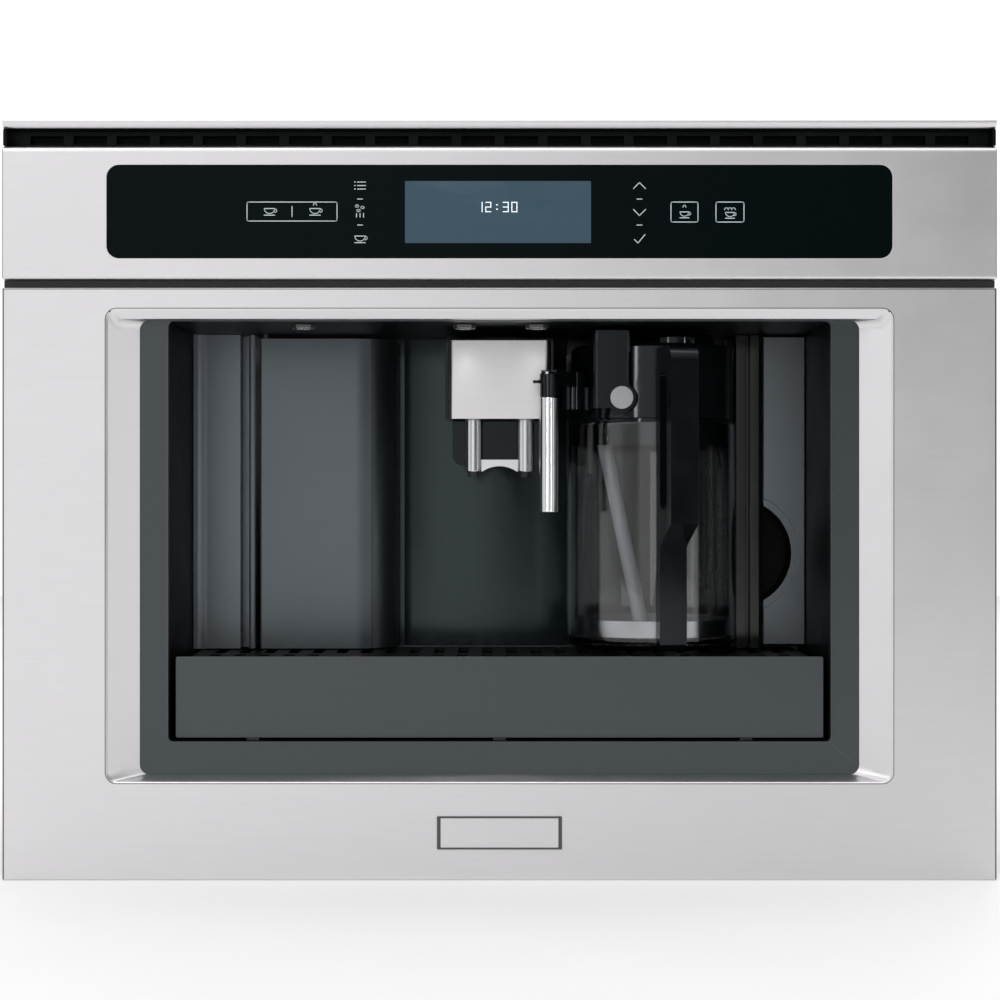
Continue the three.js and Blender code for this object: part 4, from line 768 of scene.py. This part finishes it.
def control_panel():
    """The glass with its rounded edge, and the display and marks just in front of it."""
    bm = bmesh.new()
    slab(bm, rounded_box(-234.7, 234.7, 372.3, 427.7, 7.2), GLASS_FRONT, GLASS_BACK)
    round_edges(bm, 0.45, 3, lambda x, d, z: d < 1, angle=40)
    finish_piece("control_glass_pane", bm, "machine", FINISH["dark_glass"],
                 ("control_glass",))
    left, top = from_pixel(*DISPLAY[:2])
    right, bottom = from_pixel(*DISPLAY[2:])
    bm = bmesh.new()
    slab(bm, rounded_box(left, right, bottom, top, 0.4), WINDOW_FRONT, WINDOW_BACK)
    finish_piece("display_window", bm, "machine", FINISH["display_glass"], weighted=False)
    touch_marks()
    clock_digits()


control_panel()


def frame_dressing():
    """A black strip in the seam under the fascia, standing for dark plastic there and painting the
    shade in the gap, and the blank badge plate.
    """
    # partly painted shade: a black rubber strip fills the seam's shadow gap
    block("seam_shade_strip", (-297.3, 297.3), (5, 19.9), (354.7, 359.3), "machine",
          FINISH["black_rubber"], 0.3)
    bm = bmesh.new()
    slab(bm, rounded_box(-37.4, 37.4, 18.6, 38.2, 0.5), 0.05, 0.88)
    round_edges(bm, 0.5, 2, lambda x, d, z: d < 0.2, angle=40)
    finish_piece("badge_plate_rim", bm, "machine", FINISH["dark_steel_shade_and_rim"])
    bm = bmesh.new()
    slab(bm, rounded_box(-35.2, 35.2, 19.7, 37.1, 0.3), 0.02, 0.5)
    finish_piece("badge_plate", bm, "machine", FINISH["brushed_steel"])


frame_dressing()


# ------------------------------------------------------------------ spouts and jug
JUG_X, JUG_DEPTH, JUG_BASE, JUG_RIM = 98.2, 100.0, 133.2, 276.0
NOZZLE_XS, NOZZLE_DEPTH = (-16.4, 16.4), 75.0
PIPE_X, PIPE_DEPTH = 30.5, 45.0


def coffee_nozzles():
    """Two satin tubes with dark tips, and the arched bridge between them."""
    bm = bmesh.new()
    for x in NOZZLE_XS:
        ring_profile(bm, filleted([
            (2, 245.2), (5.1, 245.2), (5.6, 245.9, 0.4), (5.6, 279.2, 0.5), (4, 279.2), (4, 287),
            (2, 287)], closed=True), (x, NOZZLE_DEPTH), segments=64)
    left, right = NOZZLE_XS
    bottom, top, thickness = 245.6, 253.0, 5.0
    radius, centre = 19.0, 229.9
    foot = math.asin((bottom - centre) / radius)
    steps = 24
    arch = []
    for k in range(steps + 1):
        turn = math.pi - foot + (2 * foot - math.pi) * k / steps
        arch.append((radius * math.cos(turn), centre + radius * math.sin(turn)))
    outline = [(left, top), (left, bottom)] + arch + [(right, bottom), (right, top)]
    slab(bm, outline, NOZZLE_DEPTH - thickness / 2, NOZZLE_DEPTH + thickness / 2)
    round_edges(bm, 0.8, 3, lambda x, d, z: abs(x) < 12 and d < NOZZLE_DEPTH and z > top - 1)
    finish_piece("spout_nozzle_pair", bm, "coffee_spout", FINISH["satin_chrome"],
                 ("spout_nozzles",))
    bm = bmesh.new()
    for x in NOZZLE_XS:
        ring_profile(bm, filleted([
            (2, 242), (3.3, 242, 0.4), (3.7, 245.3), (2, 245.3)], closed=True),
            (x, NOZZLE_DEPTH), segments=48)
    finish_piece("spout_nozzle_tips", bm, "coffee_spout", FINISH["black_rubber"])


def milk_pipe():
    """The satin tube that the milk runs out of."""
    turned("milk_spout_pipe", filleted([
        (3, 220, 0.4), (6, 220, 0.6), (6, 290.7, 0.5), (4, 290.7), (4, 301), (3, 301)], closed=True),
        (PIPE_X, PIPE_DEPTH), "milk_spout", FINISH["satin_chrome"], ("milk_spout_tube",),
        ring=True, segments=64)


def milk_vessel():
    """The clear jug, and a steel ring inside its foot that paints the bright band of light that the
    thick foot shows.
    """
    base, rim, outer, inner = JUG_BASE, JUG_RIM, 54.6, 52.1
    turned("milk_jug_vessel", filleted([
        (0, base + 1.2), (44, base + 1.2, 1.5), (46.5, base, 1), (50.5, base, 3), (outer, base + 5, 3),
        (outer, rim, 1), (inner, rim, 1), (inner, base + 7, 3), (49.1, base + 4, 1.5), (0, base + 4)]),
        (JUG_X, JUG_DEPTH), "milk_carafe", FINISH["clear_plastic"], ("milk_jug",),
        segments=128)
    # painted reflection: a steel ring inside the foot stands for the bright band the thick foot shows
    turned("milk_jug_glare_band", filleted([
        (50.1, 141.4, 0.1), (50.6, 141.4, 0.2), (50.6, 151.9, 0.2), (50.1, 151.9, 0.1)],
        closed=True), (JUG_X, JUG_DEPTH), "milk_carafe", FINISH["glare_band_steel"], ring=True,
        segments=128)


coffee_nozzles()
milk_pipe()
milk_vessel()


# ------------------------------------------------------------------ water tank
def notch_shade_cup():
    """A black cup behind the half-moon notch in the tank's front, painting the shade inside the notch.
    """
    centre_x, centre_z = 155.9, 192.8
    inner, outer = 35.2, 36.7
    flat = 172.9

    def half_moon(radius, steps=40):
        reach = math.acos((flat - centre_x) / radius)
        return [(centre_x + radius * math.cos(turn), centre_z + radius * math.sin(turn))
                for turn in (-reach + 2 * reach * k / steps for k in range(steps + 1))]

    bm = bmesh.new()
    front, floor, back = 121.0, 148.4, 149.6
    slab(bm, half_moon(outer) + half_moon(inner)[::-1], front, back)
    slab(bm, half_moon(inner), floor, back)
    # painted shade: the cup is near black
    finish_piece("tank_notch_shade_cup", bm, "water_tank", FINISH["shade_black"])


notch_shade_cup()


# ------------------------------------------------------------------ lamp rims
def lamp_rims():
    """A thin bright ring on the lower edge of each lamp."""
    inner, outer, bottom, top = 6.2, 6.9, 333.05, 333.3
    profile = filleted([
        (inner, top, 0.1), (inner, bottom, 0.1), (outer, bottom, 0.2), (outer, top, 0.1)], closed=True)
    bm = bmesh.new()
    for x in LAMPS.values():
        ring_profile(bm, profile, (x, LAMP_DEPTH), segments=64)
    finish_piece("niche_lamp_rims", bm, "machine", FINISH["chrome"])


lamp_rims()


# ------------------------------------------------------------------ fasteners
def fasteners():
    """The screws that hold the side panels and the top cover."""
    steel = FINISH["galvanised_sheet"]
    side_face, cover_face = 264, 439.8
    for side, sign in (("left", -1), ("right", 1)):
        places = [(sign * side_face, depth, z) for z in (100, 425) for depth in (32, 215, 398)]
        screws(f"side_screws_{side}", places, (sign, 0, 0), "machine", steel)
    top = [(x, depth, cover_face) for x in (-252, 252) for depth in (34, 200, 400)]
    screws("top_screws", top, (0, 0, 1), "machine", steel)


fasteners()


# ------------------------------------------------------------------ highlights
def highlights():
    """Two narrow lights that only the polished pieces catch, as in a studio with flags."""
    polished = bpy.data.collections.new("polished")
    for name in ("jug_lid_skin", "jug_handle_skin", "froth_knob_skin", "milk_spout_arm_skin",
                 "milk_spout_pipe", "niche_lamp_rims"):
        polished.objects.link(bpy.data.objects[name])
    for side, x, y in (("left", -0.62, -2.0), ("right", 0.95, -1.9)):
        lamp = area_light(f"strip_{side}", (x, y, 0.5), (0.09, -0.15, 0.25), (0.08, 1.5), 5)
        lamp.light_linking.receiver_collection = polished


highlights()
